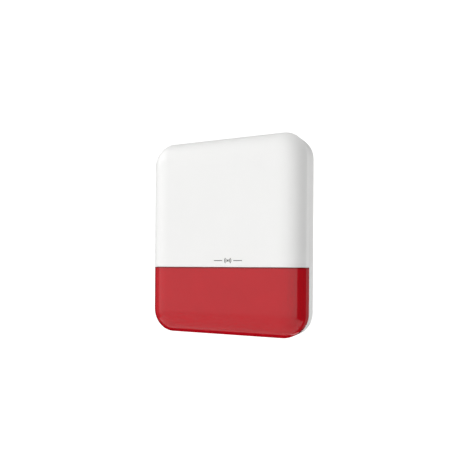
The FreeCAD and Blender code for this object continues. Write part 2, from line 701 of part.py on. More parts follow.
def on_board(x, z, width, height, depth):
    """Block standing on the board's front, centred on (x, z)."""
    return box(x - width / 2, x + width / 2, BOARD_FRONT - depth, BOARD_FRONT,
               z - height / 2, z + height / 2)


def board_chips():
    return [on_board(8.0, -9.0, 9.0, 9.0, 1.2), on_board(22.0, -23.0, 5.0, 6.0, 1.6),
            on_board(-22.0, -7.5, 7.0, 5.0, 1.6), on_board(40.0, -26.0, 4.0, 5.0, 1.4)]


def radio_shield():
    tall = 2.8
    can = on_board(32.0, -9.0, 18.0, 13.0, tall)
    front = [e for e in can.Edges if abs(e.BoundBox.YMax - (BOARD_FRONT - tall)) < TINY]
    return can.makeFillet(0.6, front)


def helical_aerial():
    """Quarter-wave aerial wound from wire."""
    coil = helix_rod(2.4, 24.0, AERIAL_COIL_R, AERIAL_WIRE_R)
    coil.translate(V(AERIAL_X, BOARD_FRONT - AERIAL_LIFT, 2.0))
    return coil


def aerial_foot():
    """Pad and bent pin that carry the aerial."""
    z = -3.5
    tail = rod(V(AERIAL_X, BOARD_FRONT, z), AERIAL_WIRE_R, AERIAL_LIFT + AERIAL_WIRE_R, FRONTWARD)
    up = rod(V(AERIAL_X, BOARD_FRONT - AERIAL_LIFT, z), AERIAL_WIRE_R, 5.6, Z_AXIS)
    pad = on_board(AERIAL_X, z, 3.0, 3.0, 0.5)
    return tail.fuse(up).fuse(pad)


def capacitors():
    cans = []
    for x, z in ((54.5, -9.0), (64.0, -9.0), (73.5, -12.5)):
        can = rod(V(x, BOARD_FRONT, z), 4.0, 11.0, FRONTWARD)
        front = [e for e in level_edges(can, "Y") if e.BoundBox.YMax < BOARD_FRONT - 5]
        cans.append(can.makeFillet(0.6, front))
    return cans


def boost_coil():
    """Step-up coil for the piezo: ferrite drum on a square foot."""
    x, z = 48.5, -21.5
    foot = on_board(x, z, 11.0, 11.0, 1.0)
    core = rod(V(x, BOARD_FRONT - 1.0, z), 3.4, 7.0, FRONTWARD)
    parts = [foot, core]
    for depth in (1.0, 6.4):
        parts.append(rod(V(x, BOARD_FRONT - depth, z), 5.0, 1.6, FRONTWARD))
    return fuse(parts)


def wire_sockets():
    """Two-way sockets for siren and batteries, and the flat cable's socket at the lower edge."""
    blocks = []
    for x in SOCKET_X:
        z = BOARD[3] - 3.0
        block = on_board(x, z, 8.0, 5.0, 5.0)
        well = box(x - 3, x + 3, BOARD_FRONT - 4, BOARD_FRONT - 1.2, z + 0.8, z + 4)
        blocks.append(block.cut(well))
    x, z = FLAT_X, BOARD[2] + 2.0
    flat = on_board(x, z, 14.0, 4.0, 2.4)
    slit = box(x - 5.5, x + 5.5, BOARD_FRONT - 1.8, BOARD_FRONT - 0.9, z - 3.0, z + 0.6)
    blocks.append(flat.cut(slit))
    return blocks


def status_lamp():
    x, z = 18.0, -14.0
    foot = on_board(x, z, 3.2, 2.8, 0.8)
    dome = rod(V(x, BOARD_FRONT - 0.8, z), 1.2, 0.8, FRONTWARD)
    return foot.fuse(dome)


def terminal_block():
    x, z = TERMINAL
    body = on_board(x, z, 9.0, 11.0, 10.0)
    for dz in (-2.7, 2.7):
        body = body.cut(rod(V(x, BOARD_FRONT - 11, z + dz), 2.1, 8.0, Y_AXIS))
        entry = box(x - 5, x + 1, BOARD_FRONT - 3.6, BOARD_FRONT - 1.2, z + dz - 1.5, z + dz + 1.5)
        body = body.cut(entry)
    return body


def terminal_screws():
    x, z = TERMINAL
    screws = []
    for dz in (-2.7, 2.7):
        screw = rod(V(x, BOARD_FRONT - 4.2, z + dz), 2.0, 4.6, FRONTWARD)
        slot = box(x - 3, x + 3, BOARD_FRONT - 10, BOARD_FRONT - 8.0, z + dz - 0.4, z + dz + 0.4)
        screws.append(screw.cut(slot))
    return screws


def power_switch():
    x, z = POWER
    body = on_board(x, z, 12.0, 6.0, 5.0)
    return body.cut(box(x - 4.5, x + 4.5, BOARD_FRONT - 6, BOARD_FRONT - 2.5, z - 1.6, z + 1.6))


def power_slider():
    """Actuator at the ON end of its slot, with grip ridges."""
    x, z = POWER
    low = x - 4.4
    foot = box(low, low + 5.0, BOARD_FRONT - 4.6, BOARD_FRONT - 2.6, z - 1.5, z + 1.5)
    knob = box(low + 0.6, low + 4.4, BOARD_FRONT - 7.0, BOARD_FRONT - 4.6, z - 1.3, z + 1.3)
    for k in range(3):
        ridge_x = low + 1.3 + 1.0 * k
        knob = knob.cut(box(ridge_x, ridge_x + 0.4, BOARD_FRONT - 8, BOARD_FRONT - 6.6, z - 2, z + 2))
    return foot.fuse(knob)


def pair_switch():
    x, z = PAIR
    body = on_board(x, z, 6.0, 6.0, 3.4)
    return body.cut(rod(V(x, BOARD_FRONT - 5, z), 1.75, 3.4, Y_AXIS))


def pair_button():
    x, z = PAIR
    return rod(V(x, BOARD_FRONT - 2.1, z), 1.65, 2.7, FRONTWARD)


def tamper_switch():
    x, z = TAMPER
    body = on_board(x, z, 8.0, 8.0, 7.0)
    return body.cut(rod(V(x, BOARD_FRONT - 8, z), 1.6, 7.4, Y_AXIS))


def tamper_plunger():
    x, z = TAMPER
    stem = rod(V(x, -14.4, z), 1.5, -14.4 - TAMPER_TIP, FRONTWARD)
    tip = [e for e in level_edges(stem, "Y") if abs(e.BoundBox.YMax - TAMPER_TIP) < TINY]
    return stem.makeFillet(0.7, tip)


def coil_between(x, z, y0, y1, radius, wire_r, turns):
    """Compression spring along Y from y0 to y1 (y1 nearer the wall)."""
    height = y1 - y0 - 2 * wire_r
    coil = helix_rod(height / turns, height, radius, wire_r)
    coil.rotate(V(0, 0, 0), X_AXIS, -90)
    coil.translate(V(x, y0 + wire_r, z))
    return coil


def tamper_spring():
    return coil_between(TAMPER[0], TAMPER[1], -14.35, -12.3, 1.0, 0.15, 3)


def wall_switch():
    x, z = WALL_TAMPER
    body = box(x - 4.5, x + 4.5, BOARD_BACK, -4.2, z - 4.5, z + 4.5)
    return body.cut(rod(V(x, -3.2, z), 2.1, 6.2, FRONTWARD))


def wall_plunger():
    """Rod that the wall holds in; it pops out when the siren is prised off."""
    x, z = WALL_TAMPER
    return rod(V(x, -7.0, z), 2.0, 7.0, Y_AXIS)


def wall_spring():
    return coil_between(WALL_TAMPER[0], WALL_TAMPER[1], -9.35, -7.05, 1.4, 0.16, 3)


# ---------------------------------------------------------------- strobe
def strobe_board():
    x0, x1, z0, z1 = STROBE
    board = box(x0, x1, STROBE_BOARD_BACK - BOARD_THICK, STROBE_BOARD_BACK, z0, z1)
    for x, z in STROBE_SCREWS:
        board = board.cut(rod(V(x, -20, z), 1.4, 10.0, Y_AXIS))
    return board


def strobe_lamps():
    """High-power lamp packages: square base with a dome."""
    lamps = []
    face = STROBE_BOARD_BACK - BOARD_THICK
    for x in LAMP_X:
        for z in LAMP_Z:
            base = box(x - 1.8, x + 1.8, face - 0.8, face, z - 1.8, z + 1.8)
            dome = Part.makeSphere(1.5, V(x, face - 0.8, z))
            dome = dome.common(box(x - 2, x + 2, face - 3, face - 0.8, z - 2, z + 2))
            lamps.append(base.fuse(dome))
    return lamps


def lamp_cup(x, z, skin):
    """Cone that widens from a lamp to the reflector's front, grown by skin."""
    back = STROBE_BOARD_BACK - BOARD_THICK
    start = V(x, back, z)
    depth = back - REFLECTOR_FRONT
    return Part.makeCone(CUP_SMALL_R + skin, CUP_LARGE_R + skin, depth, start, FRONTWARD)


def strobe_reflector():
    """Bright thin-walled tray with one tapering cup for each lamp."""
    x0, x1, z0, z1 = STROBE
    skin = REFLECTOR_SKIN
    back = STROBE_BOARD_BACK - BOARD_THICK
    depth = back - REFLECTOR_FRONT
    corner_r = 5.0
    body = box(x0 + 1, x1 - 1, REFLECTOR_FRONT, back, z0 + 0.5, z1 - 0.5)
    body = body.makeFillet(corner_r, depth_edges(body))
    hollow = box(x0 + 1 + skin, x1 - 1 - skin, REFLECTOR_FRONT + skin, back + 1,
                 z0 + 0.5 + skin, z1 - 0.5 - skin)
    parts = [body.cut(hollow.makeFillet(corner_r - skin, depth_edges(hollow)))]
    parts += [lamp_cup(x, z, skin) for x in LAMP_X for z in LAMP_Z]
    parts += [rod(V(x, back - 2.0, z), 4.6, depth - 2.0, FRONTWARD) for x, z in STROBE_SCREWS]
    body = fuse(parts)
    for x in LAMP_X:
        for z in LAMP_Z:
            body = body.cut(lamp_cup(x, z, 0.0))
    for x, z in STROBE_SCREWS:
        body = body.cut(rod(V(x, -40, z), 3.3, 40 + STROBE_SEAT, Y_AXIS))
        body = body.cut(rod(V(x, -40, z), 1.4, 30.0, Y_AXIS))
    return body


def flat_cable():
    """Flat flexible cable from the main board down to the strobe board."""
    half = 5.2
    thick = 0.3
    y_top = BOARD_FRONT - 1.2
    y_low = STROBE_BOARD_BACK + 0.9
    path = [(y_top, -28.6), (y_top, -33.5), (y_low, -38.0), (y_low, -50.0)]
    solids = []
    for (ya, za), (yb, zb) in zip(path, path[1:]):
        points = [V(FLAT_X - half, ya, za), V(FLAT_X - half, yb, zb),
                  V(FLAT_X - half, yb + thick, zb), V(FLAT_X - half, ya + thick, za)]
        solids.append(Part.Face(Part.makePolygon(points + points[:1])).extrude(V(2 * half, 0, 0)))
    return fuse(solids)


# ---------------------------------------------------------------- wires
def wire(points, radius):
    """Round wire along straight runs joined by tangent arcs, each as large as its runs allow."""
    pts = [V(*p) for p in points]
    edges = []
    last = pts[0]
    for before, corner, after in zip(pts, pts[1:], pts[2:]):
        into = (before - corner).normalize()
        out = (after - corner).normalize()
        turn = math.pi - into.getAngle(out)
        trim = 0.45 * min((before - corner).Length, (after - corner).Length)
        bend = trim / math.tan(turn / 2)
        start, end = corner + into * trim, corner + out * trim
        bisector = (into + out).normalize()
        middle = corner + bisector * (bend / math.cos(turn / 2) - bend)
        edges.append(Part.makeLine(last, start))
        edges.append(Part.Arc(start, middle, end).toShape())
        last = end
    edges.append(Part.makeLine(last, pts[-1]))
    path = Part.Wire(edges)
    first = (pts[1] - pts[0]).normalize()
    section = Part.Wire([Part.makeCircle(radius, pts[0], first)])
    return path.makePipeShell([section], True, True)


def siren_lead(side):
    """One lead of the pair from the piezo chamber to its socket; side is -1 or 1."""
    lane = side * LEAD_SPACING / 2
    x = LEAD_HOLE[0] + lane
    socket = SOCKET_X[0] + lane
    points = [(x, -6.6, 27.0), (x, -6.6, 8.0), (x, -7.4, 4.6), (x - 4.0, -13.8, 3.4 - lane),
              (x - 11.5, -14.4, 4.4 - lane), (socket, -14.2, 3.0 - lane), (socket, -14.2, -2.8)]
    return wire(points, LEAD_R)


def battery_lead(side):
    """One lead of the pair from the left holder to its socket."""
    lane = side * LEAD_SPACING / 2
    x = -56.0
    socket = SOCKET_X[1] + lane
    points = [(x + lane, -6.5, HOLDER_Z0 - 0.15), (x + lane, -7.0, -1.8 + lane),
              (x + 7.2 - 0.4 * lane, -13.5, 0.6 + 0.9 * lane), (x + 15.0, -14.4, 5.2 + lane),
              (socket, -14.2, 3.4 + 0.7 * lane), (socket, -14.2, -2.8)]
    return wire(points, LEAD_R)


# ---------------------------------------------------------------- small separate pieces
def level_bore():
    length = LEVEL_LENGTH - 2 * LEVEL_END
    return rod(V(-length / 2, LEVEL_Y, LEVEL_Z), LEVEL_R - 0.05 - LEVEL_WALL, length, X_AXIS)


def level_vial():
    """Clear tube of the spirit level, closed at both ends."""
    tube = rod(V(-LEVEL_LENGTH / 2, LEVEL_Y, LEVEL_Z), LEVEL_R - 0.05, LEVEL_LENGTH, X_AXIS)
    return tube.cut(level_bore())


def level_liquid():
    """Liquid that fills the tube around its bubble."""
    bubble = Part.makeSphere(2.2, V(0, 0, 0))
    matrix = FreeCAD.Matrix()
    matrix.scale(1.9, 1.0, 0.9)
    bubble = bubble.transformGeometry(matrix)
    bubble.translate(V(0, LEVEL_Y, LEVEL_Z + 1.4))
    return level_bore().cut(bubble)


def cable_grommet():
    """Rubber sleeve of the cable entry, its flange inside on the plate."""
    flange = ring(V(GROMMET_X, PLATE_FRONT, GROMMET_Z), 8.5, CABLE_R, 2.0, FRONTWARD)
    body = ring(V(GROMMET_X, 0, GROMMET_Z), GROMMET_R - 0.02, CABLE_R, WALL, FRONTWARD)
    return flange.fuse(body).removeSplitter()


def siren_screws():
    seat = SIREN_FLANGE_BACK - SIREN_FLANGE_THICK
    return [screw_with_head(x, z, seat) for x, z in siren_screw_places()]


def board_screws():
    return [screw_with_head(x, z, BOARD_FRONT) for x, z in BOARD_SCREWS]


def strobe_screws():
    return [screw_with_head(x, z, STROBE_SEAT, 9.0) for x, z in STROBE_SCREWS]


def all_nodes():
    nodes = {
        "base_tray": base_tray(), "front_cover": front_cover(), "strobe_lens": strobe_lens(),
        "lens_screws": lens_screws(), "cover_screw": cover_screw(), "screw_washer": screw_washer(),
        "screw_insert": screw_insert(), "siren_horn": siren_horn(), "siren_grille": siren_grille(),
        "siren_seal": siren_seal(), "siren_back_cap": siren_back_cap(), "piezo_plate": piezo_plate(),
        "piezo_ceramic": piezo_ceramic(), "siren_screws": siren_screws(),
        "battery_springs": battery_springs(), "battery_contacts": battery_contacts(),
        "main_board": main_board(), "board_chips": board_chips(), "radio_shield": radio_shield(),
        "helical_aerial": helical_aerial(), "aerial_foot": aerial_foot(), "capacitors": capacitors(),
        "boost_coil": boost_coil(), "wire_sockets": wire_sockets(), "status_lamp": status_lamp(),
        "terminal_block": terminal_block(), "terminal_screws": terminal_screws(),
        "power_switch": power_switch(), "power_slider": power_slider(),
        "pair_switch": pair_switch(), "pair_button": pair_button(),
        "tamper_switch": tamper_switch(), "tamper_plunger": tamper_plunger(),
        "tamper_spring": tamper_spring(), "wall_switch": wall_switch(),
        "wall_plunger": wall_plunger(), "wall_spring": wall_spring(),
        "board_screws": board_screws(), "strobe_board": strobe_board(),
        "strobe_lamps": strobe_lamps(), "strobe_reflector": strobe_reflector(),
        "strobe_screws": strobe_screws(), "flat_cable": flat_cable(),
        "level_vial": level_vial(), "level_liquid": level_liquid(), "cable_grommet": cable_grommet(),
    }
    for colour, side in (("red", -1), ("black", 1)):
        nodes["siren_lead_" + colour] = siren_lead(side)
        nodes["battery_lead_" + colour] = battery_lead(side)
    for side, x in (("left", -HOLDER_X), ("right", HOLDER_X)):
        nodes["battery_holder_" + side] = battery_holder(x)
        for level, z0 in zip(("lower", "upper"), CELL_STARTS):
            nodes["cell_%s_%s" % (side, level)] = cell(x, z0)
    return nodes


def write(name, shapes):
    solids = []
    for shape in shapes if isinstance(shapes, list) else [shapes]:
        solids.extend(shape.Solids)
    whole = solids[0] if len(solids) == 1 else Part.makeCompound(solids)
    whole.exportStep(os.path.join("parts", name + ".step"))
    bounds = whole.BoundBox
    size = "%.1f x %.1f x %.1f" % (bounds.XLength, bounds.YLength, bounds.ZLength)
    print("%-22s %d solid(s)  %s mm  %.2f cm3  valid %s" % (
        name, len(solids), size, whole.Volume / 1000, whole.isValid()))


def main():
    os.makedirs("parts", exist_ok=True)
    for name, shapes in all_nodes().items():
        write(name, shapes)


main()
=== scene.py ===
import json
import math

import bmesh
import bpy
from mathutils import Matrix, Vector


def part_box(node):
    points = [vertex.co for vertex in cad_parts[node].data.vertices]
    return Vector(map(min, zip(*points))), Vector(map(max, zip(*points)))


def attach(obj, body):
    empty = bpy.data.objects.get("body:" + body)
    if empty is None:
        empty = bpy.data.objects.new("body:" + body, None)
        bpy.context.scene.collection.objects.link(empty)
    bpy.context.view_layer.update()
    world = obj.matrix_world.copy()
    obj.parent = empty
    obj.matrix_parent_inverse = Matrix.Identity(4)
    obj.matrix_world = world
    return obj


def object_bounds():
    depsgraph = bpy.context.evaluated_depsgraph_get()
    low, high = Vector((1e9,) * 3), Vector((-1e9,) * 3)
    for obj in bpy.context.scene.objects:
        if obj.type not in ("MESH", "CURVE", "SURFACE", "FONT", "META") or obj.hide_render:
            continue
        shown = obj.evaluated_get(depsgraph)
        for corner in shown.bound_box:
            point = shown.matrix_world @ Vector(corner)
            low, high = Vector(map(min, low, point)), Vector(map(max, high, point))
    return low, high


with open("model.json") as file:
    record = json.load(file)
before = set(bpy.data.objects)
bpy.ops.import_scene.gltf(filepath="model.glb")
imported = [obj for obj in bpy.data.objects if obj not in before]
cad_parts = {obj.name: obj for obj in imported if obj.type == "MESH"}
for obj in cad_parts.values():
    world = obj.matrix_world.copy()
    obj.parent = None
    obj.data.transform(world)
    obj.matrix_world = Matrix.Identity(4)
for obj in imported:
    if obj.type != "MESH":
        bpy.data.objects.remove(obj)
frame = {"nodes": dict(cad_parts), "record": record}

# Frame in metres: +Z up, +X to the viewer's right, -Y out of the wall towards the viewer.
CAD_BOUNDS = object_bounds()
NODES = frame["nodes"]
MM = 0.001

# ---------------------------------------------------------------- driving values
CAMERA_PLACE = Vector((245.9, -532.4, -34.3)) * MM
CAMERA_TURN = 24.6             # degrees from the straight front view, towards +X
CAMERA_ROLL = 0.35             # degrees
CAMERA_LENS = 37.97            # mm on a 36 mm sensor
CAMERA_RISE = 0.0637           # vertical shift

FLOOR_DROP = 300 * MM          # floor below the siren's lowest point
FLOOR_HALF = 0.8               # half of the floor's side; the floor ends under the wall's plane

# Studio sky. A band is (start, full, fade, end) and a fade is (none, full), in degrees of bearing from
# straight ahead of the siren towards +X, or in the Z of a direction of length 1. A gain adds light, and
# a loss takes a share away.
SKY_GLOW = 1.17
SKY_SEEN = 1.2                 # least strength where the camera sees the sky itself
LAMP_BEARINGS = (-104.0, -88.0, -58.0, -34.0)
LAMP_HEIGHTS = (0.26, 0.40, 0.70, 0.90)
LAMP_GAIN = 2.4
RIGHT_GAP = (50.0, 55.0, 120.0, 128.0)
RIGHT_GAP_LOSS = 0.92
REAR_STRIP = (122.0, 130.0, 146.0, 154.0)
REAR_STRIP_GAIN = 1.8
LEFT_FADE = (-62.0, -86.0)     # where the dark left side under the lamp sets in
LEFT_LOSS = 0.80
BACK_LEFT_FADE = (-96.0, -112.0)
BACK_LEFT_LOSS = 0.88
BACK_RIGHT_FADE = (148.0, 156.0)
BACK_RIGHT_LOSS = 0.85
UNDER_LAMP_FADE = (0.36, 0.26)
TOP_FADE = (0.25, 0.80)
GROUND_FADE = (-0.05, -0.35)
DIM_LOSS = 0.35                # of the light from straight above and from below
KEY_PLACE = (-1.1, -1.3, 0.8)
KEY_POWER = 1.2
KEY_SIZE = 0.9

WHITE = (0.885, 0.885, 0.875)
LENS_RED = (0.50, 0.002, 0.009)
LIP_HEIGHT = 6.0 * MM          # the cover's lip reaches this far below the seam, behind the lens
PRINT_THICK = 0.04 * MM
PRINT_LINE = 0.16 * MM         # width of the lines printed on the board
COPPER_THICK = 0.035 * MM


# ---------------------------------------------------------------- mesh helpers
def new_object(name, bm, material, body, bevel=0.0, smooth_angle=35.0):
    """Turns a bmesh into a piece that rides on a CAD body."""
    bmesh.ops.recalc_face_normals(bm, faces=bm.faces)
    mesh = bpy.data.meshes.new(name)
    bm.to_mesh(mesh)
    bm.free()
    obj = bpy.data.objects.new(name, mesh)
    bpy.context.scene.collection.objects.link(obj)
    mesh.materials.append(material)
    for face in mesh.polygons:
        face.use_smooth = True
    mesh.set_sharp_from_angle(angle=math.radians(smooth_angle))
    if bevel:
        rounding = obj.modifiers.new("soft_edges", "BEVEL")
        rounding.width = bevel
        rounding.segments = 2
        rounding.limit_method = "ANGLE"
        rounding.harden_normals = True
    if body:
        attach(obj, body)
    return obj


def prism(bm, outline, shift):
    """Closed solid: the outline (3-D points of a plane polygon) pushed along shift."""
    low = [bm.verts.new(p) for p in outline]
    high = [bm.verts.new(Vector(p) + Vector(shift)) for p in outline]
    bm.faces.new(low)
    bm.faces.new(list(reversed(high)))
    count = len(low)
    for k in range(count):
        after = (k + 1) % count
        bm.faces.new((low[k], low[after], high[after], high[k]))


def block(bm, low, high):
    """Box between two corners."""
    x0, y0, z0 = low
    x1, y1, z1 = high
    prism(bm, [(x0, y0, z0), (x1, y0, z0), (x1, y0, z1), (x0, y0, z1)], (0, y1 - y0, 0))


def on_front(points, y):
    """(x, z) points as 3-D points in the plane at y."""
    return [(x, y, z) for x, z in points]


def circle(x, z, radius, count=24, start=0.0, sweep=2 * math.pi):
    """(x, z) points around a centre; an open arc includes both of its ends."""
    closed = abs(sweep - 2 * math.pi) < 1e-6
    steps = count if closed else count - 1
    angles = [start + sweep * k / steps for k in range(count)]
    return [(x + radius * math.cos(a), z + radius * math.sin(a)) for a in angles]


def stroke(points, width):
    """Outline of a line of this width along (x, z) points, with mitred corners."""
    left, right = [], []
    for k, point in enumerate(points):
        here = Vector(point)
        before = Vector(points[max(k - 1, 0)])
        after = Vector(points[min(k + 1, len(points) - 1)])
        into = (here - before).normalized() if k else (after - here).normalized()
        out = (after - here).normalized() if k < len(points) - 1 else into
        along = (into + out).normalized()
        normal = Vector((-along.y, along.x))
        reach = width / 2 / max(along.dot(into), 0.4)
        left.append(tuple(here + normal * reach))
        right.append(tuple(here - normal * reach))
    return left + right[::-1]


def ring(bm, x, z, outer, inner, y, thick, count=20):
    """Flat washer facing the front, its back at y."""
    loops = []
    for radius in (outer, inner):
        for depth in (y, y - thick):
            points = on_front(circle(x, z, radius, count), depth)
            loops.append([bm.verts.new(p) for p in points])
    outer_back, outer_front, inner_back, inner_front = loops
    for first, second in ((outer_back, outer_front), (outer_front, inner_front),
                          (inner_front, inner_back), (inner_back, outer_back)):
        for k in range(count):
            after = (k + 1) % count
            bm.faces.new((first[k], first[after], second[after], second[k]))


def lathe(bm, profile, x, z, count=48):
    """Solid turned about a front-to-back axis through (x, z), from a closed outline of (radius, y)."""
    rows = []
    for k in range(count):
        angle = 2 * math.pi * k / count
        c, s = math.cos(angle), math.sin(angle)
        rows.append([bm.verts.new((x + r * c, y, z + r * s)) for r, y in profile])
    size = len(profile)
    for k in range(count):
        first, second = rows[k], rows[(k + 1) % count]
        for j in range(size):
            after = (j + 1) % size
            bm.faces.new((first[j], first[after], second[after], second[j]))


def solid_boxes(node):
    """(lowest, highest) corner of each separate solid in a CAD node, left to right."""
    mesh = NODES[node].data
    place = {}
    parent = {}

    def top(key):
        while parent[key] != key:
            key = parent[key]
        return key

    for vertex in mesh.vertices:
        key = tuple(round(c / (0.001 * MM)) for c in vertex.co)
        place[vertex.index] = key
        parent.setdefault(key, key)
    for edge in mesh.edges:
        a, b = (top(place[v]) for v in edge.vertices)
        parent[a] = b
    groups = {}
    for vertex in mesh.vertices:
        groups.setdefault(top(place[vertex.index]), []).append(vertex.co)
    boxes = []
    for points in groups.values():
        low = Vector([min(p[k] for p in points) for k in range(3)])
        high = Vector([max(p[k] for p in points) for k in range(3)])
        boxes.append((low, high))
    return sorted(boxes, key=lambda pair: (round(pair[0].x, 4), round(pair[0].z, 4)))


# ---------------------------------------------------------------- material helpers
class Surface:
    """A node material with object-space coordinates and a Principled shader."""

    def __init__(self, name, roughness, metallic=0.0, ior=1.5):
        self.material = bpy.data.materials.new(name)
        self.material.use_nodes = True
        self.tree = self.material.node_tree
        self.shader = self.tree.nodes["Principled BSDF"]
        self.shader.inputs["Metallic"].default_value = metallic
        self.shader.inputs["IOR"].default_value = ior
        self.shader.inputs["Roughness"].default_value = roughness
        self.coords = self.add("ShaderNodeTexCoord").outputs["Object"]

    def add(self, kind):
        return self.tree.nodes.new(kind)

    def link(self, source, target):
        self.tree.links.new(source, target)

    def stretch(self, factors):
        """Coordinates scaled by a factor on each axis."""
        node = self.add("ShaderNodeMapping")
        node.inputs["Scale"].default_value = factors
        self.link(self.coords, node.inputs["Vector"])
        return node.outputs["Vector"]

    def noise(self, size, detail=3.0, rough=0.55, coords=None, distortion=0.0):
        """Noise whose features are about this size, in metres."""
        node = self.add("ShaderNodeTexNoise")
        node.inputs["Scale"].default_value = 1.0 / size
        node.inputs["Detail"].default_value = detail
        node.inputs["Roughness"].default_value = rough
        node.inputs["Distortion"].default_value = distortion
        self.link(coords or self.coords, node.inputs["Vector"])
        return node.outputs["Fac"]

    def cells(self, size):
        """Distance to the middle of the nearest cell; cells are about this size, in metres."""
        node = self.add("ShaderNodeTexVoronoi")
        node.inputs["Scale"].default_value = 1.0 / size
        self.link(self.coords, node.inputs["Vector"])
        return node.outputs["Distance"]

    def span(self, value, low, high, to_low=0.0, to_high=1.0, smooth=False):
        """Value remapped from low..high to to_low..to_high, clamped."""
        node = self.add("ShaderNodeMapRange")
        node.interpolation_type = "SMOOTHSTEP" if smooth else "LINEAR"
        settings = {"From Min": low, "From Max": high, "To Min": to_low, "To Max": to_high}
        for key, setting in settings.items():
            node.inputs[key].default_value = setting
        self.link(value, node.inputs["Value"])
        return node.outputs["Result"]

    def math(self, operation, first, second=0.0):
        """One math node; each value is a number or a socket."""
        node = self.add("ShaderNodeMath")
        node.operation = operation
        for socket, value in zip(node.inputs, (first, second)):
            if isinstance(value, (int, float)):
                socket.default_value = value
            else:
                self.link(value, socket)
        return node.outputs["Value"]

    def axis(self, letter):
        node = self.add("ShaderNodeSeparateXYZ")
        self.link(self.coords, node.inputs["Vector"])
        return node.outputs[letter]

    def ripple(self, letter, pitch):
        """Sine wave along one axis, from -1 to 1, with this pitch in metres."""
        return self.math("SINE", self.math("MULTIPLY", self.axis(letter), 2 * math.pi / pitch))

    def mix(self, factor, first, second):
        """Colour between first and second; each is a colour tuple or a socket."""
        node = self.add("ShaderNodeMix")
        node.data_type = "RGBA"
        colours = [socket for socket in node.inputs if socket.type == "RGBA"]
        for socket, value in zip(colours, (first, second)):
            if isinstance(value, tuple):
                socket.default_value = (*value, 1.0)
            else:
                self.link(value, socket)
        self.link(factor, node.inputs["Factor"])
        return next(out for out in node.outputs if out.type == "RGBA")

    def edges(self, radius):
        """Mask that is 1 on sharp edges and 0 on faces."""
        bevel = self.add("ShaderNodeBevel")
        bevel.samples = 4
        bevel.inputs["Radius"].default_value = radius
        geometry = self.add("ShaderNodeNewGeometry")
        dot = self.add("ShaderNodeVectorMath")
        dot.operation = "DOT_PRODUCT"
        self.link(bevel.outputs["Normal"], dot.inputs[0])
        self.link(geometry.outputs["Normal"], dot.inputs[1])
        return self.span(dot.outputs["Value"], 0.98, 0.80)

    def soft_normal(self, radius):
        """Normal that rounds sharp edges by this radius in metres."""
        bevel = self.add("ShaderNodeBevel")
        bevel.samples = 4
        bevel.inputs["Radius"].default_value = radius
        return bevel.outputs["Normal"]

    def bump(self, height, depth, normal=None):
        """Bump of this depth in metres; stacks on another normal."""
        node = self.add("ShaderNodeBump")
        node.inputs["Strength"].default_value = 1.0
        node.inputs["Distance"].default_value = depth
        self.link(height, node.inputs["Height"])
        if normal:
            self.link(normal, node.inputs["Normal"])
        return node.outputs["Normal"]

    def finish(self, colour, roughness, normal):
        for name, value in (("Base Color", colour), ("Roughness", roughness), ("Normal", normal)):
            self.link(value, self.shader.inputs[name])
        return self.material


def shade(colour, factor):
    return tuple(min(c * factor, 1.0) for c in colour)


def moulded(name, colour, rough, grain=0.45, relief=0.006, tint=0.03, wear=0.0, soft=0.0):
    """Injection-moulded plastic: spark-eroded grain, faint flow marks, handling marks. Sizes in mm."""
    s = Surface(name, rough)
    flow = s.noise(45 * MM, 2.0, coords=s.stretch((1.0, 1.0, 0.45)))
    smudge = s.noise(9 * MM, 4.0, 0.6, distortion=0.4)
    fine = s.noise(grain * MM, 2.0, 0.5)
    base = s.mix(s.span(flow, 0.35, 0.65), shade(colour, 1 - tint), colour)
    base = s.mix(s.span(fine, 0.62, 0.80, 0.0, 0.35), base, shade(colour, 1 - 2 * tint))
    if wear:
        scuffed = s.math("MULTIPLY", s.edges(0.35 * MM), s.span(smudge, 0.35, 0.60))
        worn = shade(colour, 1.25 if colour[0] < 0.5 else 0.86)
        base = s.mix(s.math("MULTIPLY", scuffed, wear), base, worn)
    roughness = s.span(smudge, 0.30, 0.72, rough - 0.05, rough + 0.07)
    start = s.soft_normal(soft * MM) if soft else None
    normal = s.bump(flow, 0.02 * MM, start)
    normal = s.bump(fine, relief * MM, normal)
    return s.finish(base, roughness, normal)


def red_lens():
    """Clear red acrylic with a polished face: depth, light dust, hairlines and a painted shadow along the
    seam under the cover's lip.
    """
    s = Surface("red_lens_acrylic", 0.06, ior=1.49)
    dust = s.noise(0.8 * MM, 2.0, 0.5)
    cloud = s.noise(30 * MM, 2.0)
    hair = s.noise(2.2 * MM, 2.0, 0.5, s.stretch((0.08, 1.0, 1.0)), 0.2)
    base = s.mix(s.span(cloud, 0.3, 0.7), shade(LENS_RED, 0.96), LENS_RED)
    base = s.mix(s.span(dust, 0.70, 0.84, 0.0, 0.06), base, (0.60, 0.10, 0.10))
    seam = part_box("front_cover")[0].z + LIP_HEIGHT
    # Painted shadow: the lens colour darkens to a fifth in a narrow band just below the seam, standing in
    # for the shade of the cover's lip.
    seam_shadow = s.span(s.axis("Z"), seam - 2.4 * MM, seam - 0.4 * MM, 0.0, 0.75, smooth=True)
    base = s.mix(seam_shadow, base, shade(LENS_RED, 0.2))
    polish = s.span(cloud, 0.3, 0.7, 0.045, 0.075)
    scratched = s.span(hair, 0.66, 0.80, 0.0, 0.06)
    s.shader.inputs["Subsurface Weight"].default_value = 0.12
    s.shader.inputs["Subsurface Radius"].default_value = (1.0, 0.12, 0.10)
    s.shader.inputs["Subsurface Scale"].default_value = 1.5 * MM
    normal = s.bump(s.noise(14 * MM, 2.0), 0.012 * MM)
    return s.finish(base, s.math("ADD", polish, scratched), normal)


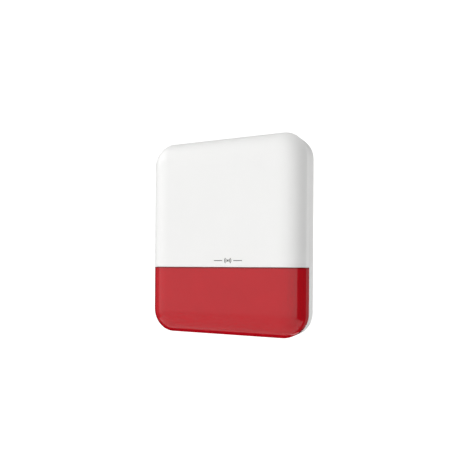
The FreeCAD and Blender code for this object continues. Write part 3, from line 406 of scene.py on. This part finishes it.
def metal(name, colour, rough, brush=(1.0, 1.0, 14.0), dull=0.7, soft=0.12):
    """Plated or drawn metal: directional fine lines, stained patches, a painted highlight along the
    edges. soft is in mm.
    """
    s = Surface(name, rough, metallic=1.0)
    lines = s.noise(1.6 * MM, 3.0, 0.6, s.stretch(brush))
    stain = s.noise(2.5 * MM, 4.0, 0.6, distortion=0.6)
    base = s.mix(s.span(stain, 0.35, 0.70), colour, shade(colour, dull))
    # Painted highlight: the colour is lighter on every sharp edge.
    base = s.mix(s.edges(0.15 * MM), base, shade(colour, 1.15))
    drawn = s.span(lines, 0.3, 0.7, rough - 0.06, rough + 0.08)
    tarnish = s.span(stain, 0.5, 0.8, 0.0, 0.1)
    normal = s.bump(lines, 0.006 * MM, s.soft_normal(soft * MM))
    return s.finish(base, s.math("ADD", drawn, tarnish), normal)


def rubber():
    """Black rubber with a grey bloom."""
    s = Surface("grommet_rubber", 0.75)
    bloom = s.noise(3 * MM, 4.0, 0.6)
    fine = s.noise(0.25 * MM, 2.0)
    base = s.mix(s.span(bloom, 0.4, 0.75), (0.018, 0.018, 0.019), (0.05, 0.05, 0.052))
    normal = s.bump(fine, 0.012 * MM, s.soft_normal(0.3 * MM))
    return s.finish(base, s.span(bloom, 0.3, 0.7, 0.62, 0.85), normal)


def laminate(name, colour, weave_tint):
    """Solder mask over glass cloth: the weave shows faintly under patchy gloss."""
    s = Surface(name, 0.3)
    weave = s.math("MULTIPLY", s.ripple("X", 0.9 * MM), s.ripple("Z", 0.9 * MM))
    patch = s.noise(12 * MM, 3.0)
    base = s.mix(s.span(weave, -1.0, 1.0), colour, weave_tint)
    base = s.mix(s.span(patch, 0.3, 0.7, 0.0, 0.3), base, shade(colour, 0.75))
    return s.finish(base, s.span(patch, 0.3, 0.7, 0.22, 0.40), s.bump(weave, 0.004 * MM))


def ferrite():
    """Sintered dark grey ferrite with fine pits."""
    s = Surface("ferrite_drum", 0.6)
    pits = s.cells(0.35 * MM)
    patch = s.noise(2.5 * MM)
    base = s.mix(s.span(patch, 0.3, 0.7), (0.035, 0.035, 0.038), (0.085, 0.083, 0.082))
    normal = s.bump(pits, 0.02 * MM, s.soft_normal(0.2 * MM))
    return s.finish(base, s.span(pits, 0.0, 0.6, 0.5, 0.75), normal)


def ceramic():
    """Fired silver electrode on the piezo ceramic."""
    s = Surface("silvered_ceramic", 0.45, metallic=0.6)
    print_mesh = s.cells(0.3 * MM)
    patch = s.noise(4 * MM, 4.0)
    base = s.mix(s.span(patch, 0.35, 0.65), (0.70, 0.69, 0.65), (0.58, 0.55, 0.50))
    return s.finish(base, s.span(patch, 0.3, 0.7, 0.38, 0.55), s.bump(print_mesh, 0.01 * MM))


def capacitor_sleeve():
    """Black sleeve with pale upright stripes and a bare metal top."""
    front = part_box("capacitors")[0].y
    s = Surface("capacitor_sleeve", 0.35)
    top = s.span(s.axis("Y"), front + 0.65 * MM, front + 0.55 * MM)
    shrink = s.noise(1.5 * MM, 3.0, coords=s.stretch((1.0, 0.3, 1.0)))
    stripe = s.math("GREATER_THAN", s.ripple("X", 9.6 * MM), 0.86)
    sleeve = s.mix(stripe, (0.02, 0.022, 0.035), (0.45, 0.46, 0.48))
    base = s.mix(top, sleeve, (0.62, 0.62, 0.62))
    return s.finish(base, s.span(shrink, 0.3, 0.7, 0.28, 0.42), s.bump(shrink, 0.03 * MM))


def cell_sleeve(node):
    """Shrink-wrapped cell: blue sleeve with a broad and a thin pale band, bare metal at both ends."""
    low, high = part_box(node)
    s = Surface("sleeve_" + node, 0.3)
    height = s.axis("Z")
    blur = 0.1 * MM
    wrinkle = s.noise(2.0 * MM, 3.0, coords=s.stretch((1.0, 1.0, 0.25)))

    def band(start, end):
        rise = s.span(height, low.z + start, low.z + start + blur)
        fall = s.span(height, low.z + end, low.z + end - blur)
        return s.math("MULTIPLY", rise, fall)

    base = s.mix(s.span(wrinkle, 0.3, 0.7), (0.030, 0.120, 0.300), (0.040, 0.150, 0.360))
    bands = s.math("MAXIMUM", band(9.0 * MM, 13.1 * MM), band(14.0 * MM, 14.7 * MM))
    base = s.mix(bands, base, (0.72, 0.72, 0.68))
    upper = s.span(height, high.z - 1.55 * MM, high.z - 1.55 * MM + blur)
    lower = s.span(height, low.z + 0.35 * MM, low.z + 0.35 * MM - blur)
    ends = s.math("MAXIMUM", upper, lower)
    base = s.mix(ends, base, (0.66, 0.65, 0.62))
    s.link(ends, s.shader.inputs["Metallic"])
    return s.finish(base, s.span(wrinkle, 0.3, 0.7, 0.20, 0.38), s.bump(wrinkle, 0.05 * MM))


def flat_film():
    """Pale film of the flat cable with its row of conductors."""
    low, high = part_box("flat_cable")
    s = Surface("flat_cable_film", 0.25)
    lines = s.ripple("X", (high.x - low.x) / 10.4)
    patch = s.noise(6 * MM)
    base = s.mix(s.span(lines, 0.0, 0.3), (0.80, 0.80, 0.75), (0.58, 0.58, 0.60))
    return s.finish(base, s.span(patch, 0.3, 0.7, 0.2, 0.35), s.bump(lines, 0.01 * MM))


def insulation(name, colour):
    """Flexible wire insulation with a fine matt grain."""
    s = Surface(name, 0.4)
    patch = s.noise(5 * MM, 3.0)
    fine = s.noise(0.3 * MM)
    base = s.mix(s.span(patch, 0.3, 0.7), colour, shade(colour, 0.7))
    return s.finish(base, s.span(patch, 0.3, 0.7, 0.32, 0.5), s.bump(fine, 0.01 * MM))


def clear(name, colour, transmission, ior, rough=0.03):
    """Clear moulding or liquid."""
    s = Surface(name, rough, ior=ior)
    patch = s.noise(4 * MM, 2.0)
    s.shader.inputs["Transmission Weight"].default_value = transmission
    base = s.mix(s.span(patch, 0.3, 0.7), colour, shade(colour, 0.95))
    return s.finish(base, s.span(patch, 0.3, 0.7, rough, rough + 0.05), s.bump(patch, 0.01 * MM))


def lamp_package():
    """White package below, pale phosphor under the clear dome."""
    s = Surface("lamp_package", 0.12)
    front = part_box("strobe_lamps")[0].y
    dome = s.span(s.axis("Y"), front + 1.52 * MM, front + 1.45 * MM)
    fine = s.noise(0.3 * MM)
    phosphor = s.mix(s.span(fine, 0.3, 0.7), (0.86, 0.70, 0.16), (0.92, 0.80, 0.26))
    base = s.mix(dome, (0.80, 0.79, 0.76), phosphor)
    s.shader.inputs["Coat Weight"].default_value = 1.0
    s.shader.inputs["Coat Roughness"].default_value = 0.03
    return s.finish(base, s.span(fine, 0.3, 0.7, 0.2, 0.35), s.bump(fine, 0.008 * MM))


def reflector():
    """Metallised plastic: bright with a faint orange peel and a few dull spots."""
    s = Surface("metallised_reflector", 0.1, metallic=1.0)
    peel = s.noise(1.2 * MM, 2.0)
    haze = s.noise(10 * MM, 4.0, 0.6)
    base = s.mix(s.span(haze, 0.35, 0.7), (0.90, 0.90, 0.91), (0.80, 0.80, 0.82))
    normal = s.bump(peel, 0.012 * MM, s.soft_normal(0.3 * MM))
    return s.finish(base, s.span(haze, 0.3, 0.75, 0.07, 0.22), normal)


def floor_paper():
    """Seamless white paper."""
    s = Surface("studio_paper", 0.85)
    fibre = s.noise(4 * MM, 4.0, 0.6)
    patch = s.noise(0.4, 2.0)
    base = s.mix(s.span(patch, 0.3, 0.7), (0.93, 0.93, 0.93), (0.95, 0.95, 0.95))
    s.shader.inputs["Emission Color"].default_value = (1, 1, 1, 1)
    s.shader.inputs["Emission Strength"].default_value = 0.2
    return s.finish(base, s.span(fibre, 0.3, 0.7, 0.8, 0.9), s.bump(fibre, 0.05 * MM))


BLACK = (0.022, 0.022, 0.024)
IVORY = (0.72, 0.70, 0.62)
STEEL = (0.60, 0.60, 0.58)
MATERIALS = {
    "white_cover": moulded("cover_plastic", WHITE, 0.42, tint=0.008, relief=0.004, wear=0.25),
    "white_base": moulded("base_plastic", shade(WHITE, 0.985), 0.46, tint=0.012, relief=0.006, wear=0.25),
    "red_lens": red_lens(),
    "black_plastic": moulded("black_moulding", BLACK, 0.5, 0.3, 0.012, 0.15, 0.6, 0.15),
    "ivory_plastic": moulded("ivory_moulding", IVORY, 0.42, 0.3, 0.004, 0.04, 0.3, 0.12),
    "red_button": moulded("button_moulding", (0.45, 0.015, 0.012), 0.38, 0.25, 0.004, 0.1, 0.5, 0.12),
    "green_plastic": moulded("terminal_moulding", (0.015, 0.190, 0.050), 0.4, 0.3, 0.005, 0.1, 0.5, 0.15),
    "steel_screw": metal("zinc_plated_steel", STEEL, 0.30),
    "spring_steel": metal("nickel_spring", (0.68, 0.66, 0.60), 0.24),
    "brass": metal("turned_brass", (0.74, 0.52, 0.22), 0.26),
    "ceramic": ceramic(),
    "black_rubber": rubber(),
    "circuit_board": laminate("green_laminate", (0.010, 0.105, 0.035), (0.016, 0.150, 0.052)),
    "strobe_board": laminate("white_laminate", (0.74, 0.74, 0.71), (0.79, 0.79, 0.76)),
    "chip_black": moulded("chip_epoxy", (0.018, 0.018, 0.019), 0.55, 0.15, 0.01, 0.2, 0.4, 0.1),
    "shield_can": metal("tinned_shield", (0.72, 0.72, 0.70), 0.28, (6.0, 1.0, 1.0), 0.8),
    "capacitor_can": capacitor_sleeve(),
    "ferrite": ferrite(),
    "lamp_clear": lamp_package(),
    "bright_reflector": reflector(),
    "flat_cable": flat_film(),
    "wire_red": insulation("red_insulation", (0.50, 0.012, 0.012)),
    "wire_black": insulation("black_insulation", (0.016, 0.016, 0.017)),
    "vial_clear": clear("clear_acrylic", (0.93, 0.97, 0.93), 0.95, 1.49),
    "vial_liquid": clear("level_spirit", (0.62, 0.92, 0.10), 0.90, 1.36),
}


def dress_cad():
    """Gives every CAD node the material of its record slot."""
    for row in frame["record"]["subparts"]:
        node, slot_name = row["node"], row["material_slot"]
        material = cell_sleeve(node) if slot_name == "cell_sleeve" else MATERIALS[slot_name]
        obj = NODES[node]
        if not obj.material_slots:
            obj.data.materials.append(material)
        for slot in obj.material_slots:
            slot.material = material


# ---------------------------------------------------------------- outside pieces
def front_mark():
    """Small printed sign above the seam: a dot between sound waves, with a fine rule on each side."""
    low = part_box("front_cover")[0]
    face = low.y
    x, z = 9.0 * MM, low.z + 13.2 * MM
    line = 0.8 * MM
    rule_start, rule_end = 6.6 * MM, 17.0 * MM
    bm = bmesh.new()
    prism(bm, on_front(circle(x, z, 1.1 * MM), face), (0, -PRINT_THICK, 0))
    for radius in (2.3 * MM, 3.9 * MM):
        for facing in (0.0, math.pi):
            arc = circle(x, z, radius, 14, facing - 0.8, 1.6)
            prism(bm, on_front(stroke(arc, line), face), (0, -PRINT_THICK, 0))
    for side in (-1, 1):
        rule = [(x + side * rule_start, z), (x + side * rule_end, z)]
        prism(bm, on_front(stroke(rule, line), face), (0, -PRINT_THICK, 0))
    ink = moulded("grey_print", (0.075, 0.078, 0.070), 0.5, 0.2, 0.002, 0.05)
    return new_object("front_mark", bm, ink, "cover")


def ejector_marks():
    """Shallow round marks that the mould's pins left inside the cover."""
    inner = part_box("front_cover")[0].y + 2.5 * MM
    outer_r, inner_r = 2.6 * MM, 2.35 * MM
    sink, thick = 0.1 * MM, 0.14 * MM
    bm = bmesh.new()
    for x in (-45, -15, 15, 45):
        for z in (14, 42, 68):
            ring(bm, x * MM, z * MM, outer_r, inner_r, inner + sink, thick, 32)
    return new_object("ejector_marks", bm, MATERIALS["white_cover"], "cover")


# ---------------------------------------------------------------- board details
BOARD_LOW, BOARD_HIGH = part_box("main_board")
BOARD_FACE = BOARD_LOW.y
CHIPS = solid_boxes("board_chips")


def centre(pair):
    """Middle of a (lowest, highest) corner pair."""
    return (pair[0] + pair[1]) / 2


def largest(boxes):
    """The pair that covers the most board."""
    return max(boxes, key=lambda pair: (pair[1].x - pair[0].x) * (pair[1].z - pair[0].z))


def leg(bm, edge_x, edge_z, out, lift, width):
    """Gull-wing leg from a chip's side down to the board; out is the unit (x, z) direction."""
    half = width / 2
    across = (-out[1] * half, out[0] * half)
    path = [(-0.1, lift), (0.35, lift), (0.55, 0.12), (1.0, 0.12), (1.0, 0.0), (0.45, 0.0),
            (0.25, lift - 0.12), (-0.1, lift - 0.12)]
    outline = []
    for reach, height in path:
        x = edge_x + out[0] * reach * MM - across[0]
        z = edge_z + out[1] * reach * MM - across[1]
        outline.append((x, BOARD_FACE - height * MM, z))
    prism(bm, outline, (2 * across[0], 0, 2 * across[1]))


def chip_legs():
    """Legs along two sides of the small chips and round all four of the main one."""
    bm = bmesh.new()
    main = largest(CHIPS)
    width = 0.34 * MM
    for low, high in CHIPS:
        all_round = (low, high) == main
        count = 10 if all_round else 4
        lift = (BOARD_FACE - low.y) / MM / 2
        for k in range(count):
            share = (k + 0.5) / count
            z = low.z + (high.z - low.z) * (0.06 + 0.88 * share)
            x = low.x + (high.x - low.x) * (0.06 + 0.88 * share)
            for side, edge in ((-1, low), (1, high)):
                leg(bm, edge.x, z, (side, 0), lift, width)
                if all_round:
                    leg(bm, x, edge.z, (0, side), lift, width)
    return new_object("chip_legs", bm, MATERIALS["shield_can"], "base")


def chip_dots():
    """Ring that marks the first leg's corner of each chip."""
    bm = bmesh.new()
    inset = 0.9 * MM
    outer_r, inner_r = 0.36 * MM, 0.26 * MM
    for low, high in CHIPS:
        ring(bm, low.x + inset, high.z - inset, outer_r, inner_r, low.y + 0.02 * MM, 0.04 * MM)
    return new_object("chip_dots", bm, MATERIALS["shield_can"], "base")


def small_part_places():
    """(x, z, turned) of the resistors and capacitors, set out in rows beside the bigger parts."""
    main, shield = centre(largest(CHIPS)), centre(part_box("radio_shield"))
    lamp = centre(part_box("status_lamp"))
    places = []
    for k in range(4):
        places.append((main.x - 8.5 * MM, main.z - 3.6 * MM + 2.4 * k * MM, False))
        places.append((main.x + 8.4 * MM, main.z - 0.6 * MM + 2.2 * k * MM, False))
    for k in range(6):
        places.append((shield.x - 5.5 * MM + 2.2 * k * MM, shield.z - 8.7 * MM, True))
    for k in range(3):
        places.append((lamp.x - 14.5 * MM + 2.2 * k * MM, lamp.z - 5.5 * MM, True))
    for k in range(4):
        places.append((BOARD_LOW.x + 14.0 * MM + 2.3 * k * MM, BOARD_HIGH.z - 12.0 * MM, True))
    return places


def small_parts():
    """Chip resistors and capacitors: a dark or tan body between two solder caps."""
    bodies = {"resistor_bodies": bmesh.new(), "capacitor_bodies": bmesh.new()}
    caps = bmesh.new()
    long, wide, tall, inset = 1.6 * MM, 0.85 * MM, 0.5 * MM, 0.3 * MM
    for k, (x, z, turned) in enumerate(small_part_places()):
        name = "resistor_bodies" if k % 3 else "capacitor_bodies"
        height = tall if k % 3 else 1.5 * tall
        hx, hz = (wide / 2, long / 2) if turned else (long / 2, wide / 2)
        bx, bz = (hx, hz - inset) if turned else (hx - inset, hz)
        block(bodies[name], (x - bx, BOARD_FACE - height, z - bz), (x + bx, BOARD_FACE, z + bz))
        for side in (-1, 1):
            ox, oz = (0, side * (hz - inset / 2)) if turned else (side * (hx - inset / 2), 0)
            cx, cz = (hx, inset / 2) if turned else (inset / 2, hz)
            block(caps, (x + ox - cx, BOARD_FACE - height - 0.02 * MM, z + oz - cz),
                  (x + ox + cx, BOARD_FACE, z + oz + cz))
    tan = moulded("capacitor_ceramic", (0.42, 0.27, 0.14), 0.5, 0.1, 0.004, 0.1, 0.0, 0.06)
    new_object("resistor_bodies", bodies["resistor_bodies"], MATERIALS["chip_black"], "base")
    new_object("capacitor_bodies", bodies["capacitor_bodies"], tan, "base")
    return new_object("solder_caps", caps, MATERIALS["shield_can"], "base", 0.05 * MM)


def track_routes():
    """(points, width) of the visible copper tracks, bent at 45 degrees between the parts they join."""
    low, high = largest(CHIPS)
    battery, flat, siren = solid_boxes("wire_sockets")
    if centre(flat).z > centre(siren).z:
        flat, siren = siren, flat
    shield_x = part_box("radio_shield")[0].x
    fine, lead, feed = 0.25 * MM, 0.3 * MM, 1.1 * MM
    routes = []
    for k in range(7):
        x0 = centre(flat).x - 1.0 * MM + 0.85 * k * MM
        x1 = low.x + (0.9 + 1.05 * k) * MM
        z0, z1 = flat[1].z, low.z - 1.1 * MM
        bend = z0 + 1.2 * MM + 0.5 * (6 - k) * MM
        routes.append(([(x0, z0), (x0, bend), (x1, bend + (x1 - x0)), (x1, z1)], fine))
    for k in range(5):
        z0 = low.z + (1.5 + 1.3 * k) * MM
        z1 = z0 - 1.0 * MM
        routes.append(([(high.x + 1.1 * MM, z0), (high.x + 3.6 * MM, z0),
                        (high.x + 4.6 * MM, z1), (shield_x, z1)], fine))
    for k in range(3):
        x0 = centre(siren).x - 1.5 * MM + 1.5 * k * MM
        z1 = high.z - (1.2 + 1.3 * k) * MM
        routes.append(([(x0, siren[0].z), (x0, z1 + 1.0 * MM),
                        (x0 + 1.0 * MM, z1), (low.x - 1.1 * MM, z1)], lead))
    feed_x = centre(battery).x
    feed_z = BOARD_LOW.z + 3.2 * MM
    routes.append(([(feed_x, battery[0].z), (feed_x, feed_z + 4 * MM), (feed_x + 4 * MM, feed_z),
                    (centre(flat).x - 9 * MM, feed_z)], feed))
    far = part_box("capacitors")[1].x - 6 * MM
    edge_z = BOARD_LOW.z + 1.6 * MM
    routes.append(([(centre(flat).x + 9 * MM, edge_z), (far - 4 * MM, edge_z),
                    (far, edge_z + 4 * MM), (far, BOARD_HIGH.z - 19 * MM)], feed))
    return routes


def tracks():
    """Copper tracks under the solder mask."""
    bm = bmesh.new()
    for points, width in track_routes():
        prism(bm, on_front(stroke(points, width), BOARD_FACE), (0, -COPPER_THICK, 0))
    masked = laminate("masked_copper", (0.020, 0.200, 0.075), (0.026, 0.240, 0.090))
    return new_object("board_tracks", bm, masked, "base", smooth_angle=20)


def vias_and_pads():
    """Plated holes at track ends, test pads in a row, and the lands round the board screws."""
    bm = bmesh.new()
    for points, _ in track_routes():
        for x, z in (points[0], points[-1]):
            ring(bm, x, z, 0.45 * MM, 0.2 * MM, BOARD_FACE, 1.4 * COPPER_THICK, 16)
    test_z = BOARD_HIGH.z - 17.5 * MM
    for k in range(6):
        x = BOARD_LOW.x + (62 + 3.0 * k) * MM
        prism(bm, on_front(circle(x, test_z, 0.7 * MM, 20), BOARD_FACE), (0, -COPPER_THICK, 0))
    for low, high in solid_boxes("board_screws"):
        mid = centre((low, high))
        ring(bm, mid.x, mid.z, 3.4 * MM, 2.9 * MM, BOARD_FACE, COPPER_THICK, 32)
    return new_object("board_pads", bm, MATERIALS["brass"], "base")


def silk_frame(bm, low, high, margin):
    """Four printed lines round a part, kept on the board."""
    width = PRINT_LINE
    x0, x1, z0, z1 = low.x - margin, high.x + margin, low.z - margin, high.z + margin
    x1, z1 = min(x1, BOARD_HIGH.x - width), min(z1, BOARD_HIGH.z - width)
    x0, z0 = max(x0, BOARD_LOW.x + width), max(z0, BOARD_LOW.z + width)
    sides = ([(x0, z0), (x1, z0)], [(x0, z1), (x1, z1)], [(x0, z0), (x0, z1)], [(x1, z0), (x1, z1)])
    for points in sides:
        prism(bm, on_front(stroke(points, width), BOARD_FACE), (0, -PRINT_THICK, 0))


def silk_print():
    """White outlines printed round the parts."""
    bm = bmesh.new()
    for node in ("board_chips", "wire_sockets"):
        margin = 1.4 * MM if node == "board_chips" else 0.5 * MM
        for low, high in solid_boxes(node):
            silk_frame(bm, low, high, margin)
    for node in ("radio_shield", "terminal_block", "power_switch",
                 "pair_switch", "tamper_switch", "boost_coil"):
        silk_frame(bm, *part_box(node), 0.5 * MM)
    for low, high in solid_boxes("capacitors"):
        mid, radius = centre((low, high)), (high.x - low.x) / 2 + 0.6 * MM
        ring(bm, mid.x, mid.z, radius, radius - PRINT_LINE, BOARD_FACE, PRINT_THICK, 40)
    ink = moulded("white_print", (0.78, 0.78, 0.75), 0.55, 0.2, 0.002, 0.05)
    return new_object("board_print", bm, ink, "base")


def crystal():
    """Flat metal can of the clock crystal beside the main chip."""
    low, high = largest(CHIPS)
    bm = bmesh.new()
    x, z = high.x + 3.0 * MM, low.z - 4.2 * MM
    half, wide, tall = 2.2 * MM, 1.0 * MM, 1.1 * MM
    outline = circle(x + half - wide, z, wide, 12, -math.pi / 2, math.pi)
    outline += circle(x - half + wide, z, wide, 12, math.pi / 2, math.pi)
    prism(bm, on_front(outline, BOARD_FACE), (0, -tall, 0))
    return new_object("clock_crystal", bm, MATERIALS["steel_screw"], "base", 0.15 * MM)


def coil_winding():
    """Copper wire wound on the ferrite drum, layer on layer."""
    low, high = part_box("boost_coil")
    mid = centre((low, high))
    wire = 0.22 * MM
    inner, outer = 3.45 * MM, 4.5 * MM
    y_front, y_back = low.y + 1.65 * MM, BOARD_FACE - 2.65 * MM
    turns = int((y_back - y_front) / (2 * wire))
    profile = [(inner, y_back), (inner, y_front)]
    for k in range(turns):
        middle = y_front + wire * (2 * k + 1)
        for step in range(5):
            angle = math.pi * (step / 4 - 0.5)
            profile.append((outer + wire * math.cos(angle), middle + wire * math.sin(angle)))
    bm = bmesh.new()
    lathe(bm, profile, mid.x, mid.z, 56)
    s = Surface("enamelled_copper", 0.3, metallic=1.0)
    patch = s.noise(1.5 * MM, 3.0)
    fine = s.noise(0.3 * MM)
    colour = s.mix(s.span(patch, 0.3, 0.7), (0.62, 0.24, 0.09), (0.48, 0.16, 0.05))
    copper = s.finish(colour, s.span(patch, 0.3, 0.7, 0.24, 0.4), s.bump(fine, 0.01 * MM))
    return new_object("coil_winding", bm, copper, "base", smooth_angle=60)


def lead_plugs():
    """Two-way plugs that the leads run into, seated in their sockets."""
    sockets = [pair for pair in solid_boxes("wire_sockets") if pair[1].z > BOARD_HIGH.z - 4 * MM]
    bm = bmesh.new()
    for low, high in sockets:
        x = (low.x + high.x) / 2
        for side in (-1, 1):
            mid = x + side * 0.9 * MM
            block(bm, (mid - 0.82 * MM, low.y + 1.1 * MM, high.z - 1.9 * MM),
                  (mid + 0.82 * MM, BOARD_FACE - 1.3 * MM, high.z - 0.1 * MM))
    return new_object("lead_plugs", bm, MATERIALS["ivory_plastic"], "base", 0.12 * MM)


def capacitor_vents():
    """Scored cross on each capacitor's top."""
    bm = bmesh.new()
    for low, high in solid_boxes("capacitors"):
        mid = centre((low, high))
        reach = (high.x - low.x) * 0.32
        for rise in (-0.6 * reach, 0.6 * reach):
            ends = [(mid.x - reach, mid.z - rise), (mid.x + reach, mid.z + rise)]
            prism(bm, on_front(stroke(ends, 0.25 * MM), low.y + 0.005 * MM), (0, -0.03 * MM, 0))
    return new_object("capacitor_vents", bm, MATERIALS["chip_black"], "base")


# ---------------------------------------------------------------- battery and strobe details
def polarity_marks():
    """Raised plus and minus signs on the rails of the battery holders."""
    bm = bmesh.new()
    for side in ("left", "right"):
        low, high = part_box("battery_holder_" + side)
        cell_low, cell_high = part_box("cell_%s_lower" % side)
        rail_y = (cell_low.y + cell_high.y) / 2 - 3.0 * MM
        rail_x = low.x + 1.1 * MM if side == "left" else high.x - 1.1 * MM
        size, width, lift = 0.75 * MM, 0.4 * MM, 0.25 * MM
        for z, plus in ((high.z - 3.4 * MM, True), (low.z + 3.4 * MM, False)):
            strokes = [[(rail_x - size, z), (rail_x + size, z)]]
            if plus:
                strokes.append([(rail_x, z - size), (rail_x, z + size)])
            for points in strokes:
                prism(bm, on_front(stroke(points, width), rail_y), (0, -lift, 0))
    white = moulded("mark_paint", (0.70, 0.70, 0.67), 0.5, 0.2, 0.004, 0.05)
    return new_object("polarity_marks", bm, white, "base")


def lamp_lands():
    """Solder lands round the strobe lamps."""
    bm = bmesh.new()
    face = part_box("strobe_board")[0].y
    for low, high in solid_boxes("strobe_lamps"):
        mid = centre((low, high))
        ring(bm, mid.x, mid.z, 2.95 * MM, 2.6 * MM, face, COPPER_THICK, 32)
    return new_object("lamp_lands", bm, MATERIALS["brass"], "base")


def dust_screen():
    """Woven dust screen behind the siren grille's slots."""
    low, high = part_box("siren_grille")
    mid = centre((low, high))
    radius = (high.x - low.x) / 2 - 5.5 * MM
    bm = bmesh.new()
    prism(bm, on_front(circle(mid.x, mid.z, radius, 64), high.y + 0.35 * MM), (0, -0.3 * MM, 0))
    s = Surface("dust_screen", 0.6)
    weave = s.math("MAXIMUM", s.ripple("X", 0.7 * MM), s.ripple("Z", 0.7 * MM))
    colour = s.mix(s.span(weave, 0.2, 0.8), (0.006, 0.006, 0.006), (0.045, 0.045, 0.047))
    screen = s.finish(colour, s.span(weave, -1, 1, 0.8, 0.5), s.bump(weave, 0.1 * MM))
    return new_object("dust_screen", bm, screen, "base")


def add_details():
    front_mark()
    ejector_marks()
    chip_legs()
    chip_dots()
    small_parts()
    tracks()
    vias_and_pads()
    silk_print()
    crystal()
    coil_winding()
    lead_plugs()
    capacitor_vents()
    polarity_marks()
    lamp_lands()
    dust_screen()


# ---------------------------------------------------------------- floor, light and camera
def floor():
    """Sheet of paper on the ground in front of the wall's plane."""
    bm = bmesh.new()
    z = CAD_BOUNDS[0].z - FLOOR_DROP
    h = FLOOR_HALF
    corners = ((-h, -2 * h, z), (h, -2 * h, z), (h, 0, z), (-h, 0, z))
    bm.faces.new([bm.verts.new(p) for p in corners])
    obj = new_object("studio_floor", bm, floor_paper(), None)


class Sky(Surface):
    """World shader: soft white studio with a dark gap on the right, a dark back, a lamp high on the left
    and a bright strip behind on the right."""

    def __init__(self):
        world = bpy.data.worlds.new("studio")
        world.use_nodes = True
        bpy.context.scene.world = world
        self.tree = world.node_tree
        self.shader = self.tree.nodes["Background"]
        self.shader.inputs["Color"].default_value = (1, 1, 1, 1)
        self.coords = self.add("ShaderNodeTexCoord").outputs["Generated"]

    def bearing(self):
        """Degrees from straight ahead of the siren towards +X."""
        back = self.math("MULTIPLY", self.axis("Y"), -1.0)
        return self.math("MULTIPLY", self.math("ARCTAN2", self.axis("X"), back), 180 / math.pi)

    def fade(self, value, ends):
        """Mask that goes smoothly from 0 at the first value to 1 at the second."""
        return self.span(value, *ends, smooth=True)

    def between(self, value, band):
        """Mask of a band (start, full, fade, end)."""
        start, full, fade, end = band
        return self.math("MULTIPLY", self.fade(value, (start, full)), self.fade(value, (end, fade)))

    def gain(self, glow, mask, amount):
        return self.math("ADD", glow, self.math("MULTIPLY", mask, amount))

    def lose(self, glow, mask, share):
        kept = self.math("SUBTRACT", 1.0, self.math("MULTIPLY", mask, share))
        return self.math("MULTIPLY", glow, kept)

    def build(self):
        bearing = self.bearing()
        height = self.axis("Z")
        across = self.between(bearing, LAMP_BEARINGS)
        lamp = self.math("MULTIPLY", across, self.between(height, LAMP_HEIGHTS))
        left = self.fade(bearing, LEFT_FADE)
        under_lamp = self.fade(height, UNDER_LAMP_FADE)
        glow = self.gain(SKY_GLOW, lamp, LAMP_GAIN)
        glow = self.lose(glow, self.between(bearing, RIGHT_GAP), RIGHT_GAP_LOSS)
        glow = self.lose(glow, self.math("MULTIPLY", left, under_lamp), LEFT_LOSS)
        glow = self.lose(glow, self.fade(bearing, BACK_LEFT_FADE), BACK_LEFT_LOSS)
        glow = self.lose(glow, self.fade(height, TOP_FADE), DIM_LOSS)
        glow = self.lose(glow, self.fade(height, GROUND_FADE), DIM_LOSS)
        glow = self.gain(glow, self.between(bearing, REAR_STRIP), REAR_STRIP_GAIN)
        glow = self.lose(glow, self.fade(bearing, BACK_RIGHT_FADE), BACK_RIGHT_LOSS)
        seen = self.add("ShaderNodeLightPath").outputs["Is Camera Ray"]
        strength = self.math("MAXIMUM", glow, self.math("MULTIPLY", seen, SKY_SEEN))
        self.link(strength, self.shader.inputs["Strength"])


def key_light():
    """Soft light from the upper left that gives the housing its faint shadows."""
    lamp = bpy.data.lights.new("key", "AREA")
    lamp.energy = KEY_POWER
    lamp.size = KEY_SIZE
    obj = bpy.data.objects.new("key", lamp)
    bpy.context.scene.collection.objects.link(obj)
    obj.location = KEY_PLACE
    obj.rotation_euler = (-obj.location).to_track_quat("-Z", "Y").to_euler()
    obj.visible_camera = False


def camera():
    data = bpy.data.cameras.new("view")
    data.lens = CAMERA_LENS
    data.sensor_width = 36.0
    data.shift_y = CAMERA_RISE
    obj = bpy.data.objects.new("view", data)
    bpy.context.scene.collection.objects.link(obj)
    obj.location = CAMERA_PLACE
    obj.rotation_euler = (math.pi / 2, 0, math.radians(CAMERA_TURN))
    obj.rotation_euler.rotate_axis("Z", math.radians(CAMERA_ROLL))
    bpy.context.scene.camera = obj


bpy.context.scene.view_settings.view_transform = "Standard"
dress_cad()
add_details()
floor()
Sky().build()
key_light()
camera()
